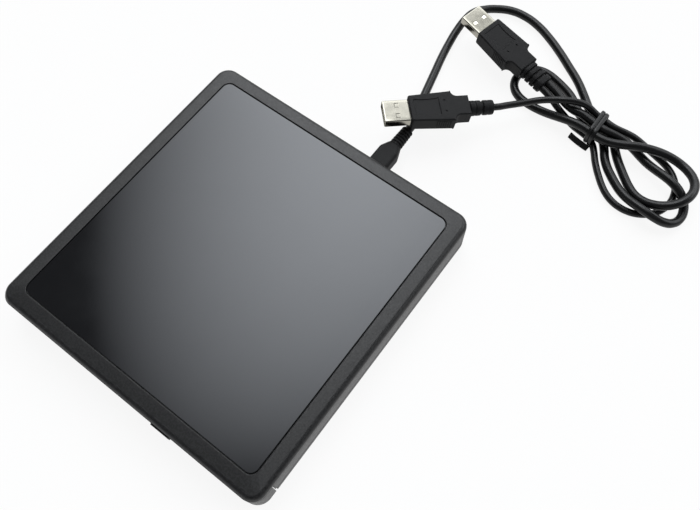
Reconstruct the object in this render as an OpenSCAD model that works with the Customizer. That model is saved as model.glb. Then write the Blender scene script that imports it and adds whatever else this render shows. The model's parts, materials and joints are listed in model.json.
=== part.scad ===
// External slim disc drive with its forked cable. Millimetres, +Z up, front towards -Y.
// The origin is at the middle of the footprint, on the surface that the feet stand on.

/* [Case] */
// Width of the case
case_w = 142; // [140:0.5:160]
// Depth of the case
case_d = 147.5; // [146:0.5:160]
// Height from the table to the top
case_h = 18.5; // [18.4:0.1:24]
// Radius of the upright corners
corner_r = 6.5; // [6:0.5:10]
// Radius of the rounded top edge
edge_r = 2.4; // [1:0.1:3]
// Thickness of the outer walls
wall = 2; // [1.6:0.1:2.4]
// Thickness of the case floor
floor_t = 1.6; // [1.2:0.1:2.5]
// Height of the rubber feet
foot_h = 0.8; // [0.5:0.1:2]
// Radius of a rubber foot
foot_r = 4; // [3:0.1:5]
// Depth of the top cover, from the top down to the split line
cover_h = 4; // [3.6:0.1:6]
// Height of the groove round the lower case
groove_z = 4.2; // [3:0.1:8]
// Width and depth of that groove
groove_t = 0.5; // [0.2:0.05:0.8]

/* [Panel] */
// Width of the border round the glossy panel, with its seam
border_w = 7.8; // [5:0.1:16]
// Corner radius of the panel
panel_r = 3.6; // [2:0.1:8]
// Thickness of the panel
panel_t = 1; // [0.6:0.1:1.4]
// Width of the dark seam round the panel
seam = 0.6; // [0.3:0.05:1]
// Shift of the panel towards the back
panel_y = 0.5; // [0:0.1:2]
// Thickness of the cover under the panel
skin_t = 1.2; // [0.8:0.1:1.5]

/* [Bezel and button] */
// Thickness of the bezel
bezel_t = 2; // [1.6:0.1:2.6]
// Depth of the bezel where it wraps round the sides
return_d = 10; // [9:0.5:14]
// Gap behind the wrapped ends of the bezel
return_gap = 0.8; // [0.4:0.1:1.5]
// Place of the eject button along the front
button_x = 20; // [14:0.5:26]
// Length of the eject button
button_l = 10.5; // [8:0.1:14]
// Height of the eject button
button_h = 2.8; // [2:0.1:3.2]
// How far the eject button stands proud
button_proud = 0.9; // [0.7:0.05:1.5]
// Place of the activity light along the front
led_x = 34; // [32:0.5:38]
// Radius of the activity light
led_r = 0.9; // [0.5:0.05:1.5]
// Place of the emergency eject hole along the front
pinhole_x = 45; // [43:0.5:55]
// Radius of the emergency eject hole
pinhole_r = 0.7; // [0.4:0.05:1]

/* [Chassis and rails] */
// Clearance between the chassis and the side walls of the case
side_gap = 5; // [4.8:0.1:6]
// Depth of the bay behind the chassis
bay_d = 15.45; // [14:0.05:18]
// Height of the steel chassis with its lid
chassis_h = 12.5; // [12.4:0.1:13]
// Thickness of the chassis steel
sheet_t = 0.6; // [0.4:0.05:0.8]
// How much shorter than the chassis each sliding rail is
rail_short = 15; // [12:1:40]
// How much shorter than the chassis each fixed guide is
guide_short = 25; // [21:1:50]
// Width of the bridge board
bridge_w = 60; // [50:1:80]
// Thickness of the circuit boards
board_t = 1.2; // [0.8:0.1:1.6]

/* [Tray and mechanism] */
// Gap between the tray and the outer back of the chassis
tray_gap = 3.1; // [2.4:0.05:4]
// Radius of the disc well
well_r = 60.5; // [60.3:0.1:61]
// Depth of the disc well
well_h = 2; // [1.6:0.1:2.2]
// Radius of the turntable
table_r = 14; // [12:0.1:15]
// Radius of the disc hub
hub_r = 7.4; // [7:0.05:7.45]
// Turn of the pickup's path from the X axis
path_a = -45; // [-50:1:-40]
// Radius of the pickup's guide rods
rod_r = 1.2; // [0.8:0.05:1.3]
// Distance of each guide rod from the pickup's path
rod_v = 17; // [16.5:0.1:17.5]
// Distance of the lead screw from the pickup's path
screw_v = 21.5; // [21.2:0.1:22]
// Radius of the lead screw
screw_r = 1.5; // [1:0.05:1.6]
// Radius at which the pickup's lens rests
lens_u = 23.5; // [23.5:0.1:24]
// Radius of the lens
lens_r = 2.2; // [1.5:0.1:3]

/* [Plugs and cords] */
// Place of the cable socket along the back
usb_x = 18.5; // [0:0.5:24]
// Diameter of the data cord
data_cord_d = 4.2; // [3:0.1:4.3]
// Diameter of the power cord
power_cord_d = 3.3; // [2.4:0.1:3.4]
// Width of a large plug's body at its shoulder
plug_w = 16.6; // [14:0.1:17]
// Width of that body at its front
plug_front_w = 14.2; // [13:0.1:16]
// Thickness of a large plug's body
plug_t = 7.6; // [6.5:0.1:8]
// Length of the wide part of a large plug's body
plug_l = 20; // [17:0.5:22]
// Width of a large plug's neck
neck_w = 10.8; // [9:0.1:12]
// Length of the neck with its shoulder
neck_l = 9; // [7:0.5:11]
// Length of a large plug's strain relief
relief_l = 12; // [9:0.5:14]
// Length of a large plug's metal shell
shell_l = 12.2; // [11:0.1:13]
// Width of that shell
shell_w = 12; // [11.5:0.1:12.4]
// Height of that shell
shell_h = 4.5; // [4.3:0.1:4.8]
// Wall of the metal shells
shell_t = 0.3; // [0.2:0.05:0.4]
// Width of the small plug's body
mini_w = 10; // [9:0.1:11]
// Thickness of the small plug's body
mini_t = 7.4; // [6:0.1:8]
// Length of the small plug's body
mini_l = 15; // [9:0.5:17]
// Length of the small plug's strain relief
mini_relief_l = 11.5; // [8:0.5:13]
// Number of ribs on a strain relief
ribs = 4; // [2:1:6]

/* [Hidden] */
$fn = 48;
// Clearances: loose, running, and a shaft in its bore
loose = 0.4;
slip = 0.1;
fit = 0.04;
// A cut's overshoot past a face, and how far a joined piece reaches into its base
over = 1;
sink = 0.1;

// Case levels and places
z0 = foot_h + floor_t;
split_z = case_h - cover_h;
skin_z = case_h - panel_t - skin_t;
front_y = -case_d / 2;
rear_y = case_d / 2 - wall;
wall_front_y = front_y + return_d + return_gap;
panel_w = case_w - 2 * border_w;
panel_d = case_d - 2 * border_w;
lip_t = 1;
lip_l = 80;
lip_h = 1.5;
lip_gap = 0.2;
rib_t = 1.2;
rib_end = 12;
screw_boss_r = 2.1;
case_screw_r = 0.9;
post_z = z0 + 5.6;
post_gap = 0.2;
case_screw_end = z0 + 10;
screw_end_gap = 0.5;
case_screw_head_r = 1.9;
case_screw_head_h = 0.6;
boss_x = case_w / 2 - wall - screw_boss_r - 0.25;
case_screws_at = [[boss_x, front_y + 17.75], [-boss_x, front_y + 17.75],
    [boss_x - 6.6, rear_y - 5.75], [-boss_x + 6.6, rear_y - 5.75]];

// Chassis levels and places
chassis_w = case_w - 2 * (wall + side_gap);
chassis_y = front_y + bezel_t + 1.05;
chassis_back = rear_y - bay_d;
chassis_d = chassis_back - chassis_y;
rib_x = chassis_w / 2 - 24;
lid_z = z0 + chassis_h - sheet_t;
lid_screw_r = 0.8;
lid_screw_head_r = 1.5;
lid_screw_head_h = 0.5;
tab_w = 3.4;
lid_screws_at = [for (sx = [-1, 1], y = [chassis_y + 6, chassis_back - 8])
    [sx * (chassis_w / 2 - sheet_t - tab_w / 2), y]];
guide_x = chassis_w / 2 - sheet_t;
guide_t = 2.4;
guide_z = z0 + 2.8;
guide_h = 5;
guide_y = chassis_y + 8.7;
guide_l = chassis_d - guide_short;
rail_y = chassis_y + 4.7;
rail_l = chassis_d - rail_short;
slot_w = 1.4;
slot_h = 3;
rail_tongue_w = 1.9;
rail_tongue_h = 1.2;

// Bridge board and its connectors
bridge_y = chassis_back + 2.2;
bridge_d = rear_y - bridge_y - loose;
bridge_z = z0 + 2.6;
bridge_x = usb_x - 8.5;
bridge_post_r = 2;
bridge_posts = [for (sx = [-1, 1], sy = [0, 1])
    [bridge_x + sx * (bridge_w / 2 - 4), bridge_y + 2.6 + sy * (bridge_d - 5.2)]];
// Chips as [place on the board, size]
bridge_chip_list = [[[bridge_w - 13, 3], [7, 7, 1]], [[bridge_w - 4, 2], [3, 6, 2]], [[3, 3], [4, 6, 2.4]]];
socket_w = 7.7;
socket_h = 3.9;
socket_l = 9;
socket_t = 0.3;
socket_y = rear_y + wall - 0.55 - socket_l;
usb_z = bridge_z + board_t + socket_h / 2;
socket_tongue_size = [4, 6.6, 1];
link_w = 28;
link_h = 3.6;
link_in = 2.2;
link_out = 3;
ribbon_w = 22;
ribbon_t = 0.2;

// Tray levels and places
tray_front = front_y + bezel_t;
tray_back = chassis_back - tray_gap;
tray_d = tray_back - tray_front;
tray_z = z0 + 2;
deck_z = z0 + 8.2;
deck_top = z0 + 10.6;
under_z = deck_z - 0.8;
deck_w = chassis_w - 2 * sheet_t - 1;
skirt_w = chassis_w - 2 * sheet_t - 2 * guide_t - 0.4;
skirt_t = 3;
inner_x = skirt_w / 2 - skirt_t;
groove_d = 1.8;
disc_y = tray_back - 1.45 - well_r;
well_z = deck_top - well_h;
wall_y = tray_front + 2.15;
pan_t = 0.4;
pan_in = 0.3;
slot_z = guide_z + guide_h / 2;
front_z = z0 + 4.6;
front_cut_x = [10, 40];
front_cut_gap = 0.2;
front_board_t = 0.8;
bezel_low_gap = 0.1;
bezel_top_gap = 0.3;
led_proud = 0.2;
switch_s = 3.6;
switch_t = 0.7;
switch_pin_r = 0.8;
switch_pin_l = 0.3;
button_gap = 0.2;
flange_w = 0.8;
flange_h = 0.5;
flange_t = 0.45;
latch_at = [-inner_x + 5.8, tray_back - 9.2];
latch_r = 1;
latch_arm_w = 2;
latch_arm_l = 5.6;
latch_hook_l = 6.7;
catch_at = [latch_at[0] + 7, latch_at[1] + 2];
catch_r = 1;
latch_z = z0 + 2.8;
latch_t = 1.4;
latch_open = 15;
solenoid_size = [13, 7, 4];
solenoid_rod_r = 0.5;
board_at = [-inner_x + 1.8, disc_y + 12.75];
board_size = [inner_x - 23.8, 36];
main_board_t = 1;
main_chip_list = [[[8, 10], [14, 14, 1.2]], [[board_size[0] - 10, 20], [7, 9, 1]], [[4, 27], [12, 5, 1.6]]];
plunger_at = [inner_x - 7.8, z0 + 4.8];
plunger_y = tray_back - 16;
plunger_r = 1.3;
plunger_l = 18;
plunger_head_r = 2.2;
plunger_head_l = 2;
plunger_lug = [6, 10, 2.4];

// Pickup mechanism in its own axes: u outwards from the hub, v across
mech_z = z0 + 2.4;
mech_t = 0.8;
mech_top = mech_z + mech_t;
axis_z = z0 + 5.3;
lug_t = 2;
lug_w = 3.6;
lug_h = 3.8;
rod_from = 10;
// The rods end short of the tray's side and of its front wall, whichever comes first
rod_end_gap = 1;
rod_side_room = inner_x - 0.88 + rod_v * sin(path_a);
rod_front_room = disc_y - wall_y - 3.9 - rod_v * cos(path_a);
rod_to = min(rod_side_room / cos(path_a), rod_front_room / -sin(path_a)) - rod_end_gap;
deck_mounts = [[-4, 20], [-4, -20], [rod_to - 22.5, -22.5]];
deck_back = [-21, -10];
deck_side = [-26, 25.5];
deck_tip = 8;
sled_slot_u = 14;
sled_slot_w = 24;
damper_h = 0.8;
damper_r = 3;
mount_screw_r = 0.85;
mount_screw_head_r = 1.8;
mount_screw_head_h = 0.35;
mount_screw_l = 3.7;
mount_hole_r = 1.1;
boss_r = 2.6;
stator_r = 12;
stator_h = 3;
shaft_r = 1;
table_z = z0 + 9.1;
pad_t = 0.3;
rotor_z = mech_top + stator_h + 0.3;
hub_top = z0 + 11.5;
ball_r = 1.1;
sled_l = 16;
sled_w = 26;
sled_z = mech_top + loose;
sled_top = z0 + 7.6;
holder_s = 8;
holder_gap = 0.5;
holder_z = z0 + 6.6;
holder_h = 1.4;
lens_h = 0.6;
focus = 0.4;
nut_u = -5.9;
nut_l = 1.8;
arm_l = 4;
arm_t = 3.9;
arm_out = 2;
web_t = 1.8;
bush_r = 1.9;
rod_slip = 0.05;
screw_from = 17.3;
screw_to = rod_to - 8.7;
screw_pin_r = 0.8;
stepper_r = 2.05;
stepper_u = 4;

// Strain reliefs and plugs
mini_gap = 0.3;
mini_y = case_d / 2 + mini_gap;
mini_shell_w = 6.8;
mini_shell_h = 3;
mini_shell_in = 7.4;
relief_r = 3.7;
relief_end_r = 3.5;
mini_relief_r = 3.3;
mini_relief_end_r = 2.9;
recess_x = 2.5;
recess_l = 12.5;
recess_w = 10;
recess_h = 0.3;
grips = 6;
grip_x = plug_l - 7.4;
grip_pitch = 1.1;
grip_w = 0.5;
grip_h = 0.3;
pit_r = 0.5;
pit_h = 0.4;
cord_gap = 0.45;
fork_w = data_cord_d + power_cord_d + cord_gap;
power_plug_at = [6.7, 96.1, 16.6];
power_plug_turn = [0, 6, 44.5];
data_plug_at = [5.4, 172.9, 12.8];
data_plug_turn = [0, 6, -12.5];

// Route of the data cord from the small plug to the hank
data_lead = [[18, 108.5, 7.1], [16.4, 112.5, 5.4], [14.2, 117, 3.7],
    [12, 122.5, 2.5], [10, 130, 2.2], [7.5, 140, 2.2], [5, 150, 2.2], [3, 160, 2.2], [2, 168, 3],
    [2, 175, 4.2], [3, 182, 4.2], [6, 188, 3], [11, 193, 2.2], [18, 196.4, 2.2], [26, 197.2, 2.2],
    [34, 195.8, 2.2], [43, 192.2, 2.2], [52, 187.4, 2.2], [60, 182.4, 2.2], [68, 177.2, 2.2],
    [74, 172.2, 2.2], [78.6, 168, 2.2], [82.3, 164.3, 2.7]];
// Route of the data cord from the hank to the data plug
data_tail = [[76.5, 157, 7.6], [72, 158.4, 6.7], [68.5, 159.9, 6.3], [65, 161.3, 6.5]];
// Route of the power cord from the power plug to the hank
power_lead = [[48.8, 138.2, 10.2], [52.3, 142.4, 9.6], [56.2, 146.9, 9.2], [60, 150.6, 9.6], [65, 153.4, 11],
    [70, 155.8, 12], [75, 158.4, 11.9], [80, 160.6, 10.4]];
// Route of the power cord from the hank to the data plug
power_tail = [[75, 154, 3.2], [71, 155, 4.2], [67.5, 155.9, 5.3], [64, 157.1, 6.3]];

// Hank: the tie's middle and turn, and lanes through it in the tie's own axes
// as [offset across, height, left end, right end]
tie_at = [89.3, 155.4];
tie_turn = -10;
lane_lead = [5.5, 3.2, 0, 7];
lane_fold = [0.3, 3.2, -7.5, 7];
lane_power_in = [5, 7.6, -1, 8];
lane_power_out = [-4.6, 2.8, -6, 4];
lane_outer = [-5.1, 7.9, -5, 7];
lane_tail = [0, 8, -5, 5];
lane_steps = 3;
loop_rings = 24;
loop_arc_steps = 16;
smooth_passes = 2;
// Loops as [centre, radius, turn, points on the way out, points on the way back, heights]
loop_big = [[128, 147.8], 14.4, 1, [[104, 149.8]], [[117, 158.6], [109, 154.8], [103, 151.2]],
    [[0.03, 2.4], [0.1, 2.2], [0.28, 2.4], [0.34, 5.4], [0.38, 6.8], [0.44, 9], [0.5, 10], [0.56, 9],
    [0.62, 6.6], [0.68, 5], [0.74, 6.2], [0.8, 8.4], [0.85, 9.6], [0.9, 9.6], [0.94, 8.8]]];
loop_left = [[52.6, 162], 11, -1, [[72, 150.6]], [[70, 168], [75.5, 163]],
    [[0.05, 7.4], [0.1, 6.4], [0.16, 4], [0.22, 2.4], [0.28, 2.2], [0.92, 2.2], [0.97, 2.8]]];
loop_low = [[134.6, 138.2], 10, 1, [[99.8, 144.8], [112, 135.6], [120, 130.6]], [[118, 154], [108, 157.8]],
    [[0.04, 2.6], [0.1, 2.2], [0.26, 2.6], [0.31, 5.9], [0.37, 7], [0.41, 6.2], [0.48, 2.8], [0.52, 2.2],
    [0.57, 2.4], [0.61, 5.2], [0.64, 6.8], [0.71, 6.8], [0.77, 3.4], [0.84, 2.6], [0.875, 4],
    [0.905, 6.2], [0.94, 8.2]]];
loop_power = [[119.4, 143.8], 17.4, -1, [[107, 163]], [[96.6, 142.6]],
    [[0.06, 6.6], [0.12, 3.2], [0.17, 1.8], [0.2, 1.7], [0.94, 1.7]]];
hank_sides = 6;
cord_sides = 8;
// The tie's strap, in its own axes
tie_w = 5.5;
tie_t = 0.7;
tie_in_y = [-7.4, 8];
tie_in_z = [0.85, 10.5];
tie_tail_x = [-7.5, 2];
tie_tail_w = 3;
tie_tail_t = 1.2;

black_satin = "#1d1d1f";
black_gloss = "#08080a";
rubber_grey = "#2a2a2c";
steel = "#b4b8bc";
bright_steel = "#d5d8da";
board_green = "#1f5a3a";
chip_black = "#202022";
nylon = "#e6e3da";
cord_black = "#19191b";

// General shapes

// A plan with four round corners, from squares and circles
module rounded(w, d, r) {
    square([w - 2 * r, d], center = true);
    square([w, d - 2 * r], center = true);
    for (sx = [-1, 1], sy = [-1, 1])
        translate([sx * (w / 2 - r), sy * (d / 2 - r)])
            circle(r);
}

// An upright slab with round corners
module slab(w, d, r, z, h) {
    translate([0, 0, z])
        linear_extrude(h)
            rounded(w, d, r);
}

// A box from its lowest corner to its highest
module box(lo, hi) {
    translate(lo)
        cube(hi - lo);
}

// A rod along u from a to b in the mechanism's axes
module rod(u0, u1, v, r, z = axis_z) {
    translate([u0, v, z])
        rotate([0, 90, 0])
            cylinder(r = r, h = u1 - u0);
}

// Puts children in the mechanism's axes
module mechanism() {
    translate([0, disc_y, 0])
        rotate([0, 0, path_a])
            children();
}

// Puts children on a loose plug, with X from the shell's tip to the cord
module on_plug(at, turn) {
    translate(at)
        rotate(turn)
            children();
}

// Case

module case_wall_plan(inset) {
    rounded(case_w - 2 * inset, case_d - 2 * inset, corner_r - inset);
}

module bottom_case() {
    color(black_satin)
        difference() {
            union() {
                difference() {
                    translate([0, 0, foot_h])
                        linear_extrude(split_z - foot_h)
                            case_wall_plan(0);
                    translate([0, 0, z0])
                        linear_extrude(case_h)
                            case_wall_plan(wall);
                    box([-case_w, -case_d, 0], [case_w, wall_front_y, case_h]);
                }
                floor_tongue();
                for (p = case_screws_at)
                    translate([p[0], p[1], z0 - sink])
                        cylinder(r = screw_boss_r, h = post_z - z0 + sink);
                for (p = bridge_posts)
                    translate([p[0], p[1], z0 - sink])
                        cylinder(r = bridge_post_r, h = bridge_z - z0 + sink);
            }
            case_groove();
            usb_window();
            for (p = case_screws_at)
                translate([p[0], p[1], 0]) {
                    cylinder(r = case_screw_r + slip, h = case_h);
                    cylinder(r = case_screw_head_r + slip, h = foot_h + case_screw_head_h + slip);
                }
        }
}

// The floor between the wrapped ends of the bezel
module floor_tongue() {
    intersection() {
        slab(case_w - 2 * (bezel_t + loose), case_d - 2 * (bezel_t + loose), corner_r - bezel_t - loose,
            foot_h, floor_t);
        box([-case_w, -case_d, 0], [case_w, wall_front_y + over, case_h]);
    }
}

module case_groove() {
    translate([0, 0, groove_z])
        linear_extrude(groove_t)
            difference() {
                square([2 * case_w, 2 * case_d], center = true);
                case_wall_plan(groove_t);
            }
}

module usb_window() {
    translate([usb_x - socket_w / 2 - loose, rear_y - over, usb_z - socket_h / 2 - loose])
        cube([socket_w + 2 * loose, wall + 2 * over, socket_h + 2 * loose]);
}

// The cover's outer form: four turned corners joined by their hull
module cover_form() {
    r = corner_r;
    hull()
        for (sx = [-1, 1], sy = [-1, 1])
            translate([sx * (case_w / 2 - r), sy * (case_d / 2 - r), split_z])
                rotate_extrude($fn = 32) {
                    square([r, cover_h - edge_r]);
                    square([r - edge_r, cover_h]);
                    translate([r - edge_r, cover_h - edge_r])
                        intersection() {
                            circle(edge_r, $fn = 32);
                            square(edge_r);
                        }
                }
}

module top_cover() {
    color(black_satin)
        difference() {
            union() {
                difference() {
                    cover_form();
                    slab(case_w - 2 * wall, case_d - 2 * wall, corner_r - wall,
                        split_z - over, skin_z - split_z + over);
                }
                for (p = case_screws_at)
                    translate([p[0], p[1], post_z + post_gap])
                        cylinder(r = screw_boss_r, h = skin_z + sink - post_z - post_gap);
                cover_ribs();
                cover_lips();
            }
            translate([0, panel_y, 0])
                slab(panel_w + 2 * seam, panel_d + 2 * seam, panel_r + seam,
                    case_h - panel_t, panel_t + over);
            for (p = case_screws_at)
                translate([p[0], p[1], 0])
                    cylinder(r = case_screw_r + fit, h = case_screw_end + screw_end_gap);
        }
}

// Ribs that hold the chassis down
module cover_ribs() {
    for (x = [-rib_x, 0, rib_x])
        box([x - rib_t / 2, chassis_y + rib_end, lid_z + sheet_t],
            [x + rib_t / 2, chassis_back - rib_end, skin_z + sink]);
}

// Lips that line the cover up inside the lower case, each below a thicker root
module cover_lips() {
    lip_x = case_w / 2 - wall - lip_gap - lip_t / 2;
    for (sx = [-1, 1])
        translate([sx * lip_x, 0, 0]) {
            box([-lip_t / 2, -lip_l / 2, split_z - lip_h], [lip_t / 2, lip_l / 2, split_z + lip_gap]);
            box([-lip_t, -lip_l / 2, split_z], [lip_t, lip_l / 2, skin_z + sink]);
        }
}

module top_panel() {
    color(black_gloss)
        translate([0, panel_y, 0])
            slab(panel_w, panel_d, panel_r, case_h - panel_t, panel_t);
}

module rubber_feet() {
    color(rubber_grey)
        for (p = case_screws_at)
            translate([p[0] - sign(p[0]) * (foot_r - screw_boss_r), p[1], 0])
                cylinder(r = foot_r, h = foot_h);
}

module case_screws() {
    color(steel)
        for (p = case_screws_at)
            translate([p[0], p[1], foot_h]) {
                cylinder(r = case_screw_head_r, h = case_screw_head_h);
                cylinder(r = case_screw_r, h = case_screw_end - foot_h);
            }
}

// Chassis

module chassis_pan() {
    half = chassis_w / 2;
    color(steel)
        difference() {
            union() {
                box([-half, chassis_y, z0], [half, chassis_back, z0 + sheet_t]);
                for (sx = [-1, 1])
                    translate([sx * (half - sheet_t / 2) - sheet_t / 2, chassis_y, z0])
                        cube([sheet_t, chassis_d, chassis_h - sheet_t]);
                box([-half, chassis_back - sheet_t, z0], [half, chassis_back, lid_z]);
                for (p = lid_screws_at)
                    translate([p[0] - tab_w / 2, p[1] - tab_w / 2, lid_z - sheet_t])
                        cube([tab_w, tab_w, sheet_t]);
                translate([catch_at[0], catch_at[1], z0])
                    cylinder(r = catch_r, h = latch_z + latch_t - z0);
            }
            translate([-link_w / 2 - loose, chassis_back - sheet_t - over, bridge_z + board_t - loose])
                cube([link_w + 2 * loose, sheet_t + 2 * over, link_h + 2 * loose]);
            for (p = lid_screws_at)
                translate([p[0], p[1], lid_z - sheet_t - over])
                    cylinder(r = lid_screw_r + fit, h = sheet_t + 2 * over);
        }
}

module chassis_lid() {
    color(bright_steel)
        difference() {
            box([-chassis_w / 2, chassis_y, lid_z], [chassis_w / 2, chassis_back, lid_z + sheet_t]);
            for (p = lid_screws_at)
                translate([p[0], p[1], lid_z - over])
                    cylinder(r = lid_screw_r + fit, h = sheet_t + 2 * over);
        }
}

module chassis_screws() {
    color(steel)
        for (p = lid_screws_at)
            translate([p[0], p[1], lid_z - sheet_t]) {
                cylinder(r = lid_screw_r, h = 2 * sheet_t);
                translate([0, 0, 2 * sheet_t])
                    cylinder(r = lid_screw_head_r, h = lid_screw_head_h);
            }
}

// A fixed channel along one side of the chassis; side is -1 or 1
module guide(side) {
    color(nylon)
        scale([side, 1, 1])
            difference() {
                translate([guide_x - guide_t, guide_y, guide_z])
                    cube([guide_t, guide_l, guide_h]);
                translate([guide_x - guide_t - over, guide_y - over, slot_z - slot_h / 2])
                    cube([slot_w + over, guide_l + 2 * over, slot_h]);
            }
}

// A sliding rail: a block in the guide's channel and a tongue in the tray's groove
module rail(side) {
    block = slot_h - 2 * slip;
    inner = guide_x - guide_t;
    color(bright_steel)
        scale([side, 1, 1]) {
            translate([inner + slip, rail_y, slot_z - block / 2])
                cube([slot_w - 2 * slip, rail_l, block]);
            translate([inner + slip - rail_tongue_w, rail_y, slot_z - rail_tongue_h / 2])
                cube([rail_tongue_w, rail_l, rail_tongue_h]);
        }
}

module left_guide() { guide(-1); }
module right_guide() { guide(1); }
module left_rail() { rail(-1); }
module right_rail() { rail(1); }

// Rear electronics

module bridge_board() {
    color(board_green)
        translate([bridge_x - bridge_w / 2, bridge_y, bridge_z])
            cube([bridge_w, bridge_d, board_t]);
}

module bridge_chips() {
    color(chip_black)
        translate([bridge_x - bridge_w / 2, bridge_y, bridge_z + board_t])
            for (c = bridge_chip_list)
                translate(c[0])
                    cube(c[1]);
}

module usb_socket() {
    color(bright_steel)
        difference() {
            translate([usb_x - socket_w / 2, socket_y, usb_z - socket_h / 2])
                cube([socket_w, socket_l, socket_h]);
            translate([usb_x - socket_w / 2 + socket_t, socket_y + socket_t, usb_z - socket_h / 2 + socket_t])
                cube([socket_w - 2 * socket_t, socket_l, socket_h - 2 * socket_t]);
        }
}

module socket_tongue() {
    color(chip_black)
        translate([usb_x - socket_tongue_size[0] / 2, socket_y + socket_t, usb_z - socket_tongue_size[2] / 2])
            cube(socket_tongue_size);
}

module link_connector() {
    color(chip_black)
        box([-link_w / 2, chassis_back - link_in, bridge_z + board_t],
            [link_w / 2, bridge_y + link_out, bridge_z + board_t + link_h]);
}

// The fixed half of the flat cable between the tray and the back
module ribbon_cable() {
    x = ribbon_w / 2;
    y = chassis_back - link_in;
    color("#c9a86a") {
        box([-x, disc_y, z0 + sheet_t], [x, y, z0 + sheet_t + ribbon_t]);
        box([-x, y - ribbon_t, z0 + sheet_t], [x, y, bridge_z + board_t + link_h]);
    }
}

// Tray

module tray() {
    half = skirt_w / 2;
    color(black_satin)
        difference() {
            union() {
                box([-deck_w / 2, tray_front, deck_z], [deck_w / 2, tray_back, deck_top]);
                box([-half, tray_front, under_z], [half, tray_back, deck_z + sink]);
                for (sx = [-1, 1])
                    translate([sx * (half - skirt_t / 2) - skirt_t / 2, tray_front, tray_z])
                        cube([skirt_t, tray_d, under_z - tray_z + sink]);
                box([-half, tray_front, tray_z], [half, wall_y, under_z + sink]);
                mechanism()
                    for (p = deck_mounts)
                        translate([p[0], p[1], mech_top + damper_h])
                            cylinder(r = boss_r, h = under_z - mech_top - damper_h + sink);
                translate([latch_at[0], latch_at[1], latch_z])
                    cylinder(r = latch_r, h = under_z - latch_z + sink);
                translate([plunger_at[0], plunger_y + plunger_head_l, plunger_at[1]])
                    box([-plunger_lug[0] / 2, 0, -plunger_lug[2]],
                        [plunger_lug[0] / 2, plunger_lug[1], under_z - plunger_at[1] + sink]);
            }
            translate([0, disc_y, well_z])
                cylinder(r = well_r, h = well_h + over, $fn = 96);
            mechanism() {
                translate([0, 0, under_z - over])
                    cylinder(r = table_r + 2, h = deck_top - under_z + 2 * over);
                translate([sled_slot_u - 2, -sled_w / 2 - 1, under_z - over])
                    cube([rod_to - 6.5, sled_w + 2, deck_top - under_z + 2 * over]);
                for (p = deck_mounts)
                    translate([p[0], p[1], mech_z])
                        cylinder(r = mount_screw_r + fit, h = mount_screw_l - sink);
            }
            for (sx = [-1, 1])
                translate([sx * (half - groove_d / 2 + over / 2), 0, slot_z])
                    cube([groove_d + over, 2 * case_d, rail_tongue_h + 2 * slip], center = true);
            box([front_cut_x[0], tray_front - over, tray_z - over],
                [front_cut_x[1], wall_y + over, under_z - front_cut_gap]);
            translate([plunger_at[0], 0, plunger_at[1]])
                rotate([-90, 0, 0])
                    cylinder(r = plunger_r + fit, h = case_d);
        }
}

// The drawer's front, which wraps round both front corners of the case
module bezel() {
    z = foot_h + bezel_low_gap;
    h = split_z - bezel_top_gap - z;
    color(black_satin)
        difference() {
            intersection() {
                translate([0, 0, z])
                    linear_extrude(h)
                        difference() {
                            case_wall_plan(0);
                            case_wall_plan(bezel_t);
                        }
                box([-case_w, -case_d, 0], [case_w, front_y + return_d, case_h]);
            }
            translate([button_x - button_l / 2, front_y - over, front_z - button_h / 2])
                cube([button_l, bezel_t + 2 * over, button_h]);
            for (p = [[led_x, led_r + fit], [pinhole_x, pinhole_r]])
                translate([p[0], front_y - over, front_z])
                    rotate([-90, 0, 0])
                        cylinder(r = p[1], h = bezel_t + 2 * over);
        }
}

module tray_pan() {
    half = skirt_w / 2 - pan_in;
    color(steel)
        difference() {
            box([-half, tray_front + pan_in, tray_z - pan_t], [half, tray_back - pan_in, tray_z]);
            box([catch_at[0] - catch_r - 1, catch_at[1] - catch_r - 1, tray_z - pan_t - over],
                [catch_at[0] + catch_r + 1, tray_back + over, tray_z + over]);
        }
}

module led_lens() {
    color("#cfe8d4")
        translate([led_x, front_y - led_proud, front_z])
            rotate([-90, 0, 0])
                cylinder(r = led_r, h = wall_y - front_y + led_proud);
}

module front_board() {
    color(board_green)
        box([front_cut_x[0] - 2, wall_y, tray_z + loose],
            [front_cut_x[1] + 2, wall_y + front_board_t, under_z - front_cut_gap]);
}

// The button stops short of the switch by its own travel and a little more
module eject_switch() {
    s = switch_s / 2;
    color(chip_black) {
        box([button_x - s, wall_y - switch_t, front_z - s], [button_x + s, wall_y, front_z + s]);
        translate([button_x, wall_y - switch_t - switch_pin_l, front_z])
            rotate([-90, 0, 0])
                cylinder(r = switch_pin_r, h = switch_pin_l + sink);
    }
}

module eject_button() {
    x = button_l / 2;
    z = button_h / 2;
    flange_y = tray_front + slip;
    color(black_satin)
        translate([button_x, 0, front_z]) {
            box([button_gap - x, front_y - button_proud, button_gap - z],
                [x - button_gap, flange_y, z - button_gap]);
            box([-x - flange_w, flange_y, -z - flange_h], [x + flange_w, flange_y + flange_t, z + flange_h]);
        }
}

module main_board() {
    color(board_green)
        translate([board_at[0], board_at[1], tray_z])
            cube([board_size[0], board_size[1], main_board_t]);
}

module main_chips() {
    color(chip_black)
        translate([board_at[0], board_at[1], tray_z + main_board_t])
            for (c = main_chip_list)
                translate(c[0])
                    cube(c[1]);
}

// The coil and the rod that pulls on the latch lever
module latch_solenoid() {
    coil_x = catch_at[0] + 4;
    rod_x = latch_at[0] + latch_r + 1.9;
    color("#a5682a") {
        translate([coil_x, latch_at[1] - 2, tray_z])
            cube(solenoid_size);
        translate([rod_x, latch_at[1] - 0.9, latch_z + latch_t / 2])
            rotate([0, 90, 0])
                cylinder(r = solenoid_rod_r, h = coil_x - rod_x);
    }
}

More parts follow.
